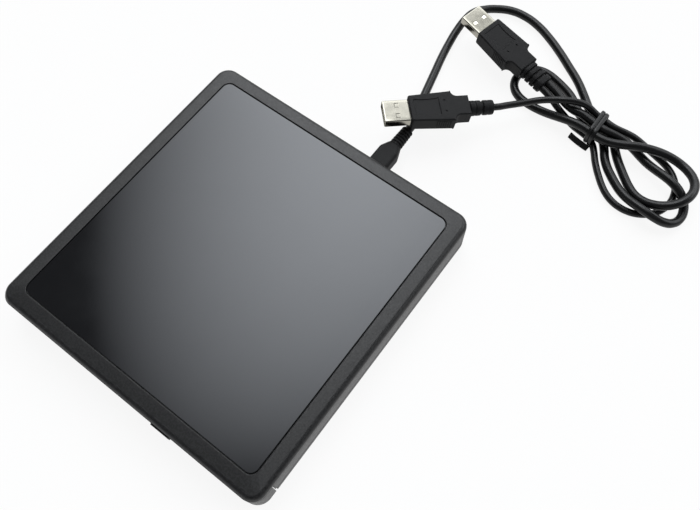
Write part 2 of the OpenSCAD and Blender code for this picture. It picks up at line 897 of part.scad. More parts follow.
// The lever that holds the tray shut, shown released
module latch_lever() {
    arm = latch_arm_w / 2;
    color(nylon)
        translate([latch_at[0], latch_at[1], latch_z])
            rotate([0, 0, latch_open])
                difference() {
                    union() {
                        cylinder(r = latch_r + 1.2, h = latch_t);
                        box([-arm, 0, 0], [arm, latch_arm_l, latch_t]);
                        box([-arm, latch_arm_l - latch_arm_w, 0], [latch_hook_l, latch_arm_l, latch_t]);
                    }
                    translate([0, 0, -over])
                        cylinder(r = latch_r + fit, h = latch_t + 2 * over);
                }
}

// The sprung rod that pushes the tray off the back of the chassis
module eject_plunger() {
    color(nylon)
        translate([plunger_at[0], plunger_y, plunger_at[1]])
            rotate([-90, 0, 0]) {
                cylinder(r = plunger_r, h = plunger_l);
                cylinder(r = plunger_head_r, h = plunger_head_l);
            }
}

// Pickup mechanism

module deck_plan() {
    tip = rod_to + rod_end_gap;
    polygon([[deck_back[0], -deck_tip], [deck_back[1], deck_side[0]], [rod_to - 7.5, deck_side[0]],
        [tip, -rod_v], [tip, rod_v], [rod_to - 7.5, deck_side[1]], [deck_back[1], deck_side[1]],
        [deck_back[0], deck_tip]]);
}

module traverse_deck() {
    color(steel)
        mechanism()
            difference() {
                union() {
                    translate([0, 0, mech_z])
                        linear_extrude(mech_t)
                            difference() {
                                deck_plan();
                                translate([sled_slot_u, -sled_slot_w / 2])
                                    square([rod_to - 17.5, sled_slot_w]);
                            }
                    for (u = [rod_from, rod_to - lug_t], sv = [-1, 1])
                        translate([u, sv * rod_v - lug_w / 2, mech_top - sink])
                            cube([lug_t, lug_w, lug_h + sink]);
                    translate([screw_to + 0.2, screw_v - lug_w / 2, mech_top - sink])
                        cube([lug_t, lug_w, lug_h + sink]);
                }
                for (sv = [-1, 1])
                    rod(rod_from - over, rod_to + over, sv * rod_v, rod_r + fit);
                rod(screw_to - over, screw_to + lug_t + 2 * over, screw_v, screw_pin_r + fit);
                for (p = deck_mounts)
                    translate([p[0], p[1], mech_z - over])
                        cylinder(r = mount_hole_r, h = mech_t + 2 * over);
            }
}

module deck_dampers() {
    color(rubber_grey)
        mechanism()
            for (p = deck_mounts)
                translate([p[0], p[1], mech_top])
                    difference() {
                        cylinder(r = damper_r, h = damper_h);
                        translate([0, 0, -over])
                            cylinder(r = mount_hole_r, h = damper_h + 2 * over);
                    }
}

module deck_screws() {
    color(steel)
        mechanism()
            for (p = deck_mounts)
                translate([p[0], p[1], mech_z - mount_screw_head_h]) {
                    cylinder(r = mount_screw_head_r, h = mount_screw_head_h);
                    cylinder(r = mount_screw_r, h = mount_screw_l);
                }
}

module spindle_stator() {
    color("#8f7a5a")
        mechanism()
            difference() {
                translate([0, 0, mech_top])
                    cylinder(r = stator_r, h = stator_h);
                translate([0, 0, mech_top + 0.4])
                    cylinder(r = shaft_r + fit, h = stator_h);
            }
}

module guide_rod(sv) {
    color(bright_steel)
        mechanism()
            rod(rod_from, rod_to, sv * rod_v, rod_r);
}

module main_guide_rod() { guide_rod(-1); }
module sub_guide_rod() { guide_rod(1); }

module stepper_motor() {
    color(steel)
        mechanism()
            difference() {
                union() {
                    rod(stepper_u, screw_from - 0.3, screw_v, stepper_r);
                    translate([stepper_u + 2, screw_v - 1.2, mech_top])
                        cube([8, 2.4, axis_z - mech_top]);
                }
                rod(screw_from - 4, screw_from, screw_v, shaft_r + fit);
            }
}

module lead_screw() {
    color(bright_steel)
        mechanism() {
            rod(screw_from - 3.8, screw_from + sink, screw_v, shaft_r);
            rod(screw_from, screw_to, screw_v, screw_r);
            rod(screw_to - sink, screw_to + lug_t, screw_v, screw_pin_r);
        }
}

module turntable() {
    color(black_satin)
        translate([0, disc_y, 0])
            difference() {
                union() {
                    translate([0, 0, mech_top + 0.6])
                        cylinder(r = shaft_r, h = rotor_z - mech_top);
                    translate([0, 0, rotor_z])
                        cylinder(r = table_r - 1, h = table_z - rotor_z);
                    translate([0, 0, table_z - 1])
                        cylinder(r = table_r, h = 1);
                    translate([0, 0, table_z - 0.1])
                        cylinder(r = hub_r, h = hub_top - table_z - 0.7);
                    translate([0, 0, hub_top - 0.8])
                        cylinder(r1 = hub_r, r2 = hub_r - 0.8, h = 0.8);
                }
                for (a = [0, 120, 240])
                    rotate([0, 0, a])
                        translate([hub_r - 2 * ball_r, 0, hub_top - 1.3])
                            rotate([0, 90, 0])
                                cylinder(r = ball_r + slip, h = 2 * ball_r + over);
            }
}

module turntable_pad() {
    color(rubber_grey)
        translate([0, disc_y, table_z])
            difference() {
                cylinder(r = table_r, h = pad_t);
                translate([0, 0, -over])
                    cylinder(r = table_r - 3.4, h = pad_t + 2 * over);
            }
}

module clamp_balls() {
    color(bright_steel)
        translate([0, disc_y, hub_top - 1.3])
            for (a = [0, 120, 240])
                rotate([0, 0, a])
                    translate([hub_r - ball_r + 0.3, 0, 0])
                        sphere(ball_r);
}

module pickup_sled() {
    back = lens_u - sled_l / 2;
    color("#3a3d42")
        mechanism()
            difference() {
                union() {
                    translate([back, -sled_w / 2, sled_z])
                        cube([sled_l, sled_w, sled_top - sled_z]);
                    rod(back, lens_u + arm_l / 2, -rod_v, bush_r);
                    translate([back, -rod_v, axis_z - web_t / 2])
                        cube([sled_l / 2 + arm_l / 2, rod_v - sled_w / 2 + sink, web_t]);
                    translate([lens_u - arm_l / 2, sled_w / 2 - sink, axis_z - arm_t / 2])
                        cube([arm_l, rod_v - sled_w / 2 + arm_out, arm_t]);
                    sled_nut();
                }
                rod(back - over, lens_u + arm_l / 2 + over, -rod_v, rod_r + rod_slip);
                translate([lens_u - arm_l / 2 - over, rod_v - rod_r - 0.3, axis_z - rod_r - rod_slip])
                    cube([arm_l + 2 * over, arm_l + arm_out, 2 * (rod_r + rod_slip)]);
                translate([lens_u, 0, holder_z - focus - 0.2])
                    translate([-holder_s / 2 - holder_gap, -holder_s / 2 - holder_gap, 0])
                        cube([holder_s + 2 * holder_gap, holder_s + 2 * holder_gap, sled_top]);
            }
}

// The arm over the guide rod and the nut that the lead screw drives
module sled_nut() {
    u = lens_u + nut_u;
    difference() {
        union() {
            translate([u, sled_w / 2 - sink, axis_z + rod_r + 0.15])
                cube([nut_l, screw_v - sled_w / 2, 0.6]);
            translate([u, screw_v - bush_r, axis_z - arm_t / 2])
                cube([nut_l, 2 * bush_r, arm_t]);
        }
        rod(u - over, u + nut_l + over, screw_v, screw_r + rod_slip);
    }
}

module lens_holder() {
    color(chip_black)
        mechanism()
            difference() {
                translate([lens_u - holder_s / 2, -holder_s / 2, holder_z])
                    cube([holder_s, holder_s, holder_h]);
                translate([lens_u, 0, holder_z - over])
                    cylinder(r = lens_r - 0.5, h = holder_h + 2 * over);
            }
}

module objective_lens() {
    color("#9fb6d8")
        mechanism()
            translate([lens_u, 0, holder_z + holder_h])
                cylinder(r1 = lens_r, r2 = lens_r - 0.6, h = lens_h);
}

// Plugs

// A round relief with ribs, along X from 0
module round_relief(l, r0, r1) {
    pitch = l / ribs;
    rotate([0, 90, 0]) {
        cylinder(r = r1 - 0.5, h = l);
        for (i = [0:ribs - 1])
            translate([0, 0, i * pitch])
                cylinder(r = r0 + (r1 - r0) * i / (ribs - 1), h = pitch * 0.6);
        translate([0, 0, l - pitch * 0.3])
            cylinder(r = r1, h = pitch * 0.3);
    }
}

// A wider relief with ribs for two cords side by side
module fork_relief(l) {
    pitch = l / ribs;
    w = fork_w - 2 * relief_end_r + 2;
    rotate([90, 0, 90]) {
        linear_extrude(l)
            fork_plan(w, relief_end_r - 0.5);
        for (i = [0:ribs - 1])
            translate([0, 0, i * pitch])
                linear_extrude(pitch * 0.6)
                    fork_plan(w, relief_r + (relief_end_r - relief_r) * i / (ribs - 1));
        translate([0, 0, l - pitch * 0.3])
            linear_extrude(pitch * 0.3)
                fork_plan(w, relief_end_r);
    }
}

module fork_plan(w, r) {
    square([w, 2 * r], center = true);
    for (s = [-1, 1])
        translate([s * w / 2, 0])
            circle(r);
}

// Half the width of a large plug's body, which widens towards its shoulder
function plug_side(x) = (plug_front_w + (plug_w - plug_front_w) * x / plug_l) / 2;

// Plan of a large plug's body: wide part, hollow shoulder and neck
module plug_plan() {
    shoulder = (plug_w - neck_w) / 2;
    chamfer = 0.6;
    difference() {
        polygon([[0, chamfer - plug_side(0)], [chamfer, -plug_side(chamfer)], [plug_l, -plug_w / 2],
            [plug_l + neck_l, -plug_w / 2], [plug_l + neck_l, plug_w / 2], [plug_l, plug_w / 2],
            [chamfer, plug_side(chamfer)], [0, plug_side(0) - chamfer]]);
        for (s = [-1, 1]) {
            translate([plug_l + shoulder + 1, s * plug_w / 2])
                circle(shoulder);
            translate([plug_l + shoulder + 1 + neck_l / 2, s * (neck_w + shoulder + over) / 2])
                square([neck_l, shoulder + over], center = true);
        }
    }
}

// The moulded body of a large plug, from its front face at X = 0
module plug_body() {
    difference() {
        translate([0, 0, -plug_t / 2])
            linear_extrude(plug_t)
                plug_plan();
        translate([recess_x, -recess_w / 2, plug_t / 2 - recess_h])
            cube([recess_l, recess_w, over]);
        for (i = [0:grips - 1], s = [-1, 1])
            translate([grip_x + i * grip_pitch, s * plug_side(grip_x + i * grip_pitch), 0])
                cube([grip_w, 2 * grip_h, plug_t - 1.6], center = true);
        for (s = [-1, 1])
            translate([plug_l - 1.5, s * 3, plug_t / 2 - pit_h])
                cylinder(r = pit_r, h = over);
    }
}

// The folded metal shell in front of a large plug, open at its tip
module plug_shell() {
    difference() {
        translate([-shell_l, -shell_w / 2, -shell_h / 2])
            cube([shell_l, shell_w, shell_h]);
        translate([-shell_l - over, -shell_w / 2 + shell_t, -shell_h / 2 + shell_t])
            cube([shell_l, shell_w - 2 * shell_t, shell_h - 2 * shell_t]);
        for (s = [-1, 1], t = [-1, 1])
            translate([-shell_l + 5.4, s * 2.9 - 1.25, t * shell_h / 2 - 0.5])
                cube([2, 2.5, 1]);
    }
}

module plug_tongue() {
    translate([-shell_l + 0.6, -shell_w / 2 + shell_t + slip, -shell_h / 2 + shell_t])
        cube([shell_l - 1.6, shell_w - 2 * shell_t - 2 * slip, 1.9]);
}

module data_plug_body() {
    color(cord_black)
        on_plug(data_plug_at, data_plug_turn)
            translate([shell_l, 0, 0]) {
                plug_body();
                translate([plug_l + neck_l - 0.2, 0, 0])
                    fork_relief(relief_l + 0.2);
            }
}

module power_plug_body() {
    color(cord_black)
        on_plug(power_plug_at, power_plug_turn)
            translate([shell_l, 0, 0]) {
                plug_body();
                translate([plug_l + neck_l - 0.2, 0, 0])
                    round_relief(relief_l + 0.2, relief_r, relief_end_r);
            }
}

module data_plug_shell() {
    color(steel)
        on_plug(data_plug_at, data_plug_turn)
            translate([shell_l, 0, 0])
                plug_shell();
}

module power_plug_shell() {
    color(bright_steel)
        on_plug(power_plug_at, power_plug_turn)
            translate([shell_l, 0, 0])
                plug_shell();
}

module plug_tongues() {
    color(nylon) {
        on_plug(data_plug_at, data_plug_turn)
            translate([shell_l, 0, 0])
                plug_tongue();
        on_plug(power_plug_at, power_plug_turn)
            translate([shell_l, 0, 0])
                plug_tongue();
    }
}

module mini_plug_body() {
    color(cord_black)
        translate([usb_x, mini_y, usb_z]) {
            rotate([-90, 0, 0])
                linear_extrude(mini_l)
                    rounded(mini_w, mini_t, 1.2);
            translate([0, mini_l - 0.2, 0])
                rotate([0, 0, 90])
                    round_relief(mini_relief_l + 0.2, mini_relief_r, mini_relief_end_r);
        }
}

module mini_plug_shell() {
    color(bright_steel)
        translate([usb_x, mini_y, usb_z])
            difference() {
                translate([-mini_shell_w / 2, -mini_shell_in, -mini_shell_h / 2])
                    cube([mini_shell_w, mini_shell_in, mini_shell_h]);
                translate([-mini_shell_w / 2 + shell_t, -mini_shell_in - over, -mini_shell_h / 2 + shell_t])
                    cube([mini_shell_w - 2 * shell_t, mini_shell_in, mini_shell_h - 2 * shell_t]);
            }
}

// Cords

// A point on a loose plug, in the part's own frame
function turned(p, turn) =
    let (q = [p[0] * cos(turn[1]) + p[2] * sin(turn[1]), p[1], p[2] * cos(turn[1]) - p[0] * sin(turn[1])])
    [q[0] * cos(turn[2]) - q[1] * sin(turn[2]), q[0] * sin(turn[2]) + q[1] * cos(turn[2]), q[2]];
plug_end = shell_l + plug_l + neck_l + relief_l;
data_exit_y = (fork_w - data_cord_d) / 2;
power_exit_y = -(fork_w - power_cord_d) / 2;
function data_plug_exit(x) = data_plug_at + turned([plug_end + x, data_exit_y, 0], data_plug_turn);
function fork_exit(x) = data_plug_at + turned([plug_end + x, power_exit_y, 0], data_plug_turn);
function power_plug_exit(x) = power_plug_at + turned([plug_end + x, 0, 0], power_plug_turn);
mini_exit = mini_y + mini_l + mini_relief_l;

function unit(v) = v / norm(v);
function tangent(p, i) = unit(p[min(i + 1, len(p) - 1)] - p[max(i - 1, 0)]);

// One ring of a tube, square to the route
function ring(c, t, r, n) =
    let (s = unit(cross(t, [0, 0, 1])), u = cross(s, t))
    [for (k = [0:n - 1]) c + r * (cos(360 * k / n) * s + sin(360 * k / n) * u)];

module tube(p, d, n) {
    last = len(p) - 1;
    points = [for (i = [0:last]) each ring(p[i], tangent(p, i), d / 2, n)];
    sides = [for (i = [0:last - 1], k = [0:n - 1])
        let (a = i * n + k, b = i * n + (k + 1) % n)
        each [[a, b, b + n], [a, b + n, a + n]]];
    caps = [for (k = [1:n - 2]) each [[0, k + 1, k], [last * n, last * n + k, last * n + k + 1]]];
    polyhedron(points, concat(sides, caps));
}

// Lanes and loops of the hank
tie_along = [cos(tie_turn), sin(tie_turn), 0];
tie_across = [-sin(tie_turn), cos(tie_turn), 0];
function lane_end(lane, side) =
    [tie_at[0], tie_at[1], lane[1]] + (side > 0 ? lane[3] : lane[2]) * tie_along + lane[0] * tie_across;
function lane_run(lane, side) =
    let (a = lane_end(lane, -side), b = lane_end(lane, side))
    [for (i = [0:lane_steps]) a + (b - a) * i / lane_steps];
function plan(p) = [p[0], p[1]];
function touch_angle(p, c, r, s) =
    let (d = plan(p) - c)
    atan2(d[1], d[0]) + s * acos(r / norm(d));
function forward(a) = a <= 0 ? forward(a + 360) : a;
function run_length(p, i) = i == 0 ? 0 : run_length(p, i - 1) + norm(p[i] - p[i - 1]);
// Evenly spaced plan points along a line of plan points, without its ends
function spaced(p, n) =
    let (s = [for (i = [0:len(p) - 1]) run_length(p, i)],
        xs = [for (i = [0:len(p) - 1]) [s[i], p[i][0]]],
        ys = [for (i = [0:len(p) - 1]) [s[i], p[i][1]]],
        step = s[len(p) - 1] / (n + 1))
    [for (i = [1:n]) [lookup(i * step, xs), lookup(i * step, ys)]];
// A loop out from p, round its circle and back to q
function loop(p, q, spec) =
    let (c = spec[0], r = spec[1], turn = spec[2], out = spec[3], back = spec[4],
        a0 = touch_angle(out[len(out) - 1], c, r, turn),
        sweep = forward((touch_angle(back[0], c, r, -turn) - a0) * turn) * turn,
        arc = [for (i = [0:loop_arc_steps])
            let (a = a0 + sweep * i / loop_arc_steps)
            c + r * [cos(a), sin(a)]],
        line = spaced(concat([plan(p)], out, arc, back, [plan(q)]), loop_rings),
        heights = concat([[0, p[2]]], spec[5], [[1, q[2]]]))
    [for (i = [0:loop_rings - 1]) [line[i][0], line[i][1], lookup((i + 1) / (loop_rings + 1), heights)]];
function smoothed(p, passes) = passes == 0 ? p :
    smoothed([for (i = [0:len(p) - 1])
        i == 0 || i == len(p) - 1 ? p[i] : (p[i - 1] + 2 * p[i] + p[i + 1]) / 4], passes - 1);
function middles(p) = [for (i = [0:len(p) - 2]) each [p[i], (p[i] + p[i + 1]) / 2]];
// The least gap of a tube to itself, leaving out neighbours along the cord
function least_gap(p, d) =
    let (q = middles(p), skip = 8)
    min([for (i = [0:len(q) - skip - 2], j = [i + skip + 1:len(q) - 1]) norm(q[i] - q[j])]) - d;

data_hank = smoothed(concat(
    lane_run(lane_lead, 1), loop(lane_end(lane_lead, 1), lane_end(lane_outer, 1), loop_big),
    lane_run(lane_outer, -1), loop(lane_end(lane_outer, -1), lane_end(lane_fold, -1), loop_left),
    lane_run(lane_fold, 1), loop(lane_end(lane_fold, 1), lane_end(lane_tail, 1), loop_low),
    lane_run(lane_tail, -1)), smooth_passes);
power_hank = smoothed(concat(
    lane_run(lane_power_in, 1),
    loop(lane_end(lane_power_in, 1), lane_end(lane_power_out, 1), loop_power),
    lane_run(lane_power_out, -1)), smooth_passes);

// Stubs that keep a cord's ends straight and square to what they meet
function lane_stub(lane, d) = lane_end(lane, -1) - d * tie_along;

module data_cord_lead() {
    color(cord_black)
        tube(concat([[usb_x, mini_exit, usb_z], [usb_x, mini_exit + data_cord_d, usb_z]],
            data_lead, [lane_stub(lane_lead, data_cord_d), lane_end(lane_lead, -1)]),
            data_cord_d, cord_sides);
}

module data_cord_hank() {
    echo("least gap of the data cord's hank to itself, mm", least_gap(data_hank, data_cord_d));
    color(cord_black)
        tube(data_hank, data_cord_d, hank_sides);
}

module data_cord_tail() {
    color(cord_black)
        tube(concat([lane_end(lane_tail, -1), lane_stub(lane_tail, data_cord_d)], data_tail,
            [data_plug_exit(data_cord_d), data_plug_exit(0)]), data_cord_d, cord_sides);
}

module power_cord_lead() {
    color(cord_black)
        tube(concat([power_plug_exit(0), power_plug_exit(power_cord_d)], power_lead,
            [lane_stub(lane_power_in, power_cord_d), lane_end(lane_power_in, -1)]),
            power_cord_d, cord_sides);
}

module power_cord_loop() {
    echo("least gap of the power cord's loop to itself, mm", least_gap(power_hank, power_cord_d));
    color(cord_black)
        tube(power_hank, power_cord_d, hank_sides);
}

module power_cord_tail() {
    color(cord_black)
        tube(concat([lane_end(lane_power_out, -1), lane_stub(lane_power_out, power_cord_d)], power_tail,
            [fork_exit(power_cord_d), fork_exit(0)]), power_cord_d, cord_sides);
}

// A strap round the six strands, with its loose end
module cord_tie() {
    x = tie_w / 2;
    low_y = tie_in_y[0] - tie_t;
    low_z = tie_in_z[0] - tie_t;
    color(cord_black)
        translate([tie_at[0], tie_at[1], 0])
            rotate([0, 0, tie_turn]) {
                difference() {
                    box([-x, low_y, low_z], [x, tie_in_y[1] + tie_t, tie_in_z[1] + tie_t]);
                    box([-x - over, tie_in_y[0], tie_in_z[0]], [x + over, tie_in_y[1], tie_in_z[1]]);
                }
                box([tie_tail_x[0], low_y + sink - tie_tail_w, low_z],
                    [tie_tail_x[1], low_y + sink, low_z + tie_tail_t]);
            }
}

bottom_case();
top_cover();
top_panel();
rubber_feet();
case_screws();
chassis_pan();
chassis_lid();
chassis_screws();
left_guide();
right_guide();
bridge_board();
bridge_chips();
usb_socket();
socket_tongue();
link_connector();
ribbon_cable();
left_rail();
right_rail();
tray();
bezel();
tray_pan();
led_lens();
front_board();
eject_switch();
main_board();
main_chips();
traverse_deck();
deck_dampers();
deck_screws();
spindle_stator();
main_guide_rod();
sub_guide_rod();
stepper_motor();
latch_solenoid();
eject_plunger();
turntable();
turntable_pad();
clamp_balls();
pickup_sled();
lens_holder();
objective_lens();
lead_screw();
eject_button();
latch_lever();
mini_plug_body();
mini_plug_shell();
data_plug_body();
data_plug_shell();
power_plug_body();
power_plug_shell();
plug_tongues();
data_cord_lead();
data_cord_hank();
data_cord_tail();
power_cord_lead();
power_cord_loop();
power_cord_tail();
cord_tie();
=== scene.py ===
import json
import math

import bmesh
import bpy
from bpy.props import FloatProperty, FloatVectorProperty, PointerProperty
from bpy.types import Operator, Panel, PropertyGroup
from mathutils import Matrix, Vector


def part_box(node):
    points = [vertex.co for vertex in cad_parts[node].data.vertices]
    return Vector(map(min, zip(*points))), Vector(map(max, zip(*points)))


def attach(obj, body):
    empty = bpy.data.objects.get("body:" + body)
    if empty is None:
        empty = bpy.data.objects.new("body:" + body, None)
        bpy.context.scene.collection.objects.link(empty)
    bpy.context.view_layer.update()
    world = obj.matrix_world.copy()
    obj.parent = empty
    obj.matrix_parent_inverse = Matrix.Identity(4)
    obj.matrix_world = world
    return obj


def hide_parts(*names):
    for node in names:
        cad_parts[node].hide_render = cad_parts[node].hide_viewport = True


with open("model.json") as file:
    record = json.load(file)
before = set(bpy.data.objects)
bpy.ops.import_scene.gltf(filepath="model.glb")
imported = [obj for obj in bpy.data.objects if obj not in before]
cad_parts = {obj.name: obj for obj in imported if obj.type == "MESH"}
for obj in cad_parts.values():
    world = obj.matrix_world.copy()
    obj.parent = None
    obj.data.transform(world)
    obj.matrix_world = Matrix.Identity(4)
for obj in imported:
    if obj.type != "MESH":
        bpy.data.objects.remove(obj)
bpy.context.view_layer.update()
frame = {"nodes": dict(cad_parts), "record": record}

bl_info = {
    "name": "External disc drive",
    "version": (1, 0, 0),
    "blender": (4, 5, 0),
    "location": "3D View > Sidebar > Disc drive",
    "description": "Dresses the packed disc drive with detailed pieces, materials, cords and a studio",
    "category": "Object",
}

MM = 0.001
NODE_SLOT = {row["node"]: row["material_slot"] for row in frame["record"]["subparts"]}
NODE_BODY = {node: body for body, nodes in frame["record"]["behaviour"]["bodies"].items() for node in nodes}


def linear(code):
    """One sRGB hex colour as linear RGB."""
    parts = [int(code[i:i + 2], 16) / 255 for i in (1, 3, 5)]
    return tuple(c / 12.92 if c <= 0.04045 else ((c + 0.055) / 1.055) ** 2.4 for c in parts)


# Sizes of the case, in millimetres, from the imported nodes
COVER_LO, COVER_HI = (Vector(corner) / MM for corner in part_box("top_cover"))
PANEL_LO, PANEL_HI = (Vector(corner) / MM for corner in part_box("top_panel"))
BEZEL_LO, BEZEL_HI = (Vector(corner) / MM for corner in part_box("bezel"))
CASE_W = COVER_HI.x - COVER_LO.x
CASE_D = COVER_HI.y - COVER_LO.y
CASE_H = COVER_HI.z
PANEL_W = PANEL_HI.x - PANEL_LO.x
PANEL_D = PANEL_HI.y - PANEL_LO.y
PANEL_Y = (PANEL_HI.y + PANEL_LO.y) / 2
PANEL_Z = PANEL_LO.z
SPLIT_Z = 14.5
SKIN_Z = 16.3
WALL = 2.0
CORNER_R = 6.5
PANEL_R = 3.6
SEAM = 0.4
# The border's fall towards the front edge, in millimetres per millimetre
FRONT_FALL = 0.1
# Chamfer at the cover's foot
COVER_RIM = 0.25
# Lips of the case behind the bezel's ends: insets from the case's side, places behind the bezel, rounding
CASE_LIP_X, CASE_LIP_Y, CASE_LIP_EDGE = (0.7, 1.7), (0.25, 1.6), 0.2

# Plugs
SHELL_L, SHELL_W, SHELL_H, SHELL_T = 12.2, 12.0, 4.5, 0.3
PLUG_L, PLUG_W, PLUG_FRONT_W, PLUG_T = 20.0, 16.6, 14.2, 7.6
NECK_L, NECK_W = 9.0, 10.8
RELIEF_L, RELIEF_R, RELIEF_END_R = 12.0, 3.7, 3.5
MINI_L, MINI_RELIEF_L, MINI_RELIEF_R, MINI_RELIEF_END_R = 15.0, 11.5, 3.3, 2.9
PLUG_END = SHELL_L + PLUG_L + NECK_L + RELIEF_L
FORK_W = 2.95
DATA_EXIT_Y, POWER_EXIT_Y = 1.875, -2.325
# A large body's plan: where its sides end, its front corners, and what its hollow leaves of an edge
PLUG_SIDE_END, PLUG_FRONT_R, SLIVER = PLUG_L + 1, 1.0, 0.05
# Label recess in a large plug's top, from the front of its body, and the two pits behind it
LABEL_LO, LABEL_HI = (2.4, -4.8), (14.6, 4.8)
LABEL_BOW, LABEL_RIM, LABEL_DEPTH = 0.6, 0.25, 0.3
PIT_X, PIT_Y, PIT_HALF, PIT_RIM, PIT_DEPTH = (16.6, 17.5), 3, 0.45, 0.12, 0.35
# Grip ribs on its sides: the first one's distance from the body's end, their pitch, and half their sizes
GRIPS, GRIP_BACK, GRIP_PITCH = 7, 7.4, 1.05
GRIP_X, GRIP_Y, GRIP_Z, GRIP_EDGE = 0.3, 0.22, 2.7, 0.14
# A shell's sections as (place along it, cut off its width and height, corner radius), in over its folded tip
SHELL_ROWS = [(SHELL_L, 0, 0.6), (0.5, 0, 0.6), (0.14, 0.14, 0.55), (0, 0.34, 0.5), (0.12, 2 * SHELL_T, 0.35),
              (SHELL_L - 1, 2 * SHELL_T, 0.35)]
# Its windows and the spring leaves in them, which lean a little in the data plug, in degrees
WINDOW_X, WINDOW_Y, WINDOW_HALF = (5.4, 7.4), 2.9, 1.25
LEAF_X, LEAF_SINK, LEAF_EDGE = 7.5, 0.02, 0.05
LEAF_LO, LEAF_HI = (-1.85, -1.0, -0.1), (0.1, 1.0, 0.1)
DATA_LEAF_TILT = 6
# Tongue in a shell and the contacts on it
TONGUE_LO, TONGUE_HI, TONGUE_EDGE = (0.6, -5.6, -1.95), (SHELL_L - 0.9, 5.6, -0.05), 0.15
CONTACT_X, CONTACT_Z, CONTACT_HALF, CONTACT_EDGE = (1.3, SHELL_L - 1.2), (-0.25, 0.02), 0.5, 0.06
CONTACTS_Y = (-3.5, -1, 1, 3.5)
# The small body's sections as (place along it, width, height, corner radius)
MINI_ROWS = [(0, 9.2, 6.6, 1.2), (0.4, 10, 7.4, 1.5), (10.2, 10, 7.4, 1.5), (11, 9.7, 7.3, 1.6),
             (14, 7.6, 6.6, 2.2), (MINI_L, 7.0, 6.4, 2.6), (MINI_L + 0.2, 5.6, 5.6, 2.5)]


def plug_place(at, pitch, yaw):
    """Where a loose plug lies: X runs from its shell's tip to its cord."""
    turn = Matrix.Rotation(math.radians(yaw), 4, "Z") @ Matrix.Rotation(math.radians(pitch), 4, "Y")
    return Matrix.Translation(at) @ turn


POWER_PLUG = plug_place((6.7, 96.1, 16.6), 6, 44.5)
DATA_PLUG = plug_place((5.4, 172.9, 12.8), 6, -12.5)
MINI_PLUG = (18.5, 74.05, 8.15)
MINI_EXIT = MINI_PLUG[1] + MINI_L + MINI_RELIEF_L
# Turn what is drawn along Z to lie along X, or along Y
ALONG_X = Matrix(((0, 0, 1, 0), (1, 0, 0, 0), (0, 1, 0, 0), (0, 0, 0, 1)))
ALONG_Y = Matrix(((1, 0, 0, 0), (0, 0, 1, 0), (0, -1, 0, 0), (0, 0, 0, 1)))
# A large relief's rings as (place along it, cut below its full radius): two, a deep groove and a broad one
RELIEF_RINGS = [(-0.3, 0.5), (0.3, 0.5), (0.5, 0.1), (0.9, 0), (2.4, 0), (2.8, 0.1), (2.95, 0.35),
                (3.15, 0.35), (3.3, 0.1), (3.7, 0), (5.2, 0), (5.6, 0.1), (5.75, 0.9), (6.75, 0.9),
                (6.9, 0.1), (7.3, 0), (8.8, 0), (9.1, 0.15), (9.4, 0.15), (9.7, 0), (11.2, 0),
                (11.7, 0.15), (12, 0.7)]
# The forked relief's rings, with three deep grooves
FORK_RINGS = [(-0.3, 0.5), (0.4, 0.5), (0.55, 0.1), (0.9, 0)] + [
    (2.9 * i + x, cut) for i in range(3)
    for x, cut in ((1.7, 0), (2.0, 0.1), (2.1, 1.1), (3.0, 1.1), (3.1, 0.1), (3.4, 0))] + [
    (11.2, 0), (11.7, 0.15), (12, 0.7)]
# The small relief's seven rings
MINI_RINGS = [(1.64 * i + x, cut) for i in range(7)
              for x, cut in ((0, 0.55), (0.2, 0.08), (0.5, 0), (0.82, 0), (1.1, 0.08), (1.3, 0.55))]

# Tie round the hank: its place, and its inner sizes across and up in its own axes
TIE = Matrix.Translation((89.3, 155.4, 0)) @ Matrix.Rotation(math.radians(-10), 4, "Z")
TIE_W = 4.2
TIE_Y = (-7.4, 8)
TIE_Z = (0.85, 10.5)
TIE_R = 3.4
# One turn of its strap as (share of the turn, thickness), and how far the turns lean back
TIE_TURN = ((0.03, 0.2), (0.12, 0.5), (0.3, 0.62), (0.7, 0.62), (0.88, 0.5), (0.97, 0.2))
TIE_LEAN = 0.176
# Its loose end's width, thickness and corner radius, and its stations as (x, y, z, tilt in degrees)
TIE_END_SIZE = (3.0, 0.8, 0.3)
TIE_END = [(3.6, -8.3, 1.0, 20), (1.5, -9.0, 1.7, 35), (-1.5, -9.5, 2.2, 48), (-4.5, -9.6, 2.4, 55),
           (-7.2, -9.3, 2.3, 58)]

# Routes of the cords, as in the part's source
DATA_LEAD = [(18, 108.5, 7.1), (16.4, 112.5, 5.4), (14.2, 117, 3.7), (12, 122.5, 2.5), (10, 130, 2.2),
             (7.5, 140, 2.2), (5, 150, 2.2), (3, 160, 2.2), (2, 168, 3), (2, 175, 4.2), (3, 182, 4.2),
             (6, 188, 3), (11, 193, 2.2), (18, 196.4, 2.2), (26, 197.2, 2.2), (34, 195.8, 2.2),
             (43, 192.2, 2.2), (52, 187.4, 2.2), (60, 182.4, 2.2), (68, 177.2, 2.2), (74, 172.2, 2.2),
             (78.6, 168, 2.2), (82.3, 164.3, 2.7)]
DATA_TAIL = [(76.5, 157, 7.6), (72, 158.4, 6.7), (68.5, 159.9, 6.3), (65, 161.3, 6.5)]
POWER_LEAD = [(48.8, 138.2, 10.2), (52.3, 142.4, 9.6), (56.2, 146.9, 9.2), (60, 150.6, 9.6), (65, 153.4, 11),
              (70, 155.8, 12), (75, 158.4, 11.9), (80, 160.6, 10.4)]
POWER_TAIL = [(75, 154, 3.2), (71, 155, 4.2), (67.5, 155.9, 5.3), (64, 157.1, 6.3)]
# Straight stubs of the cords at plugs and lanes, and how far they reach into the small and the large reliefs
DATA_STUB, POWER_STUB = 4.2, 3.3
MINI_SINK, PLUG_SINK = 2, 3
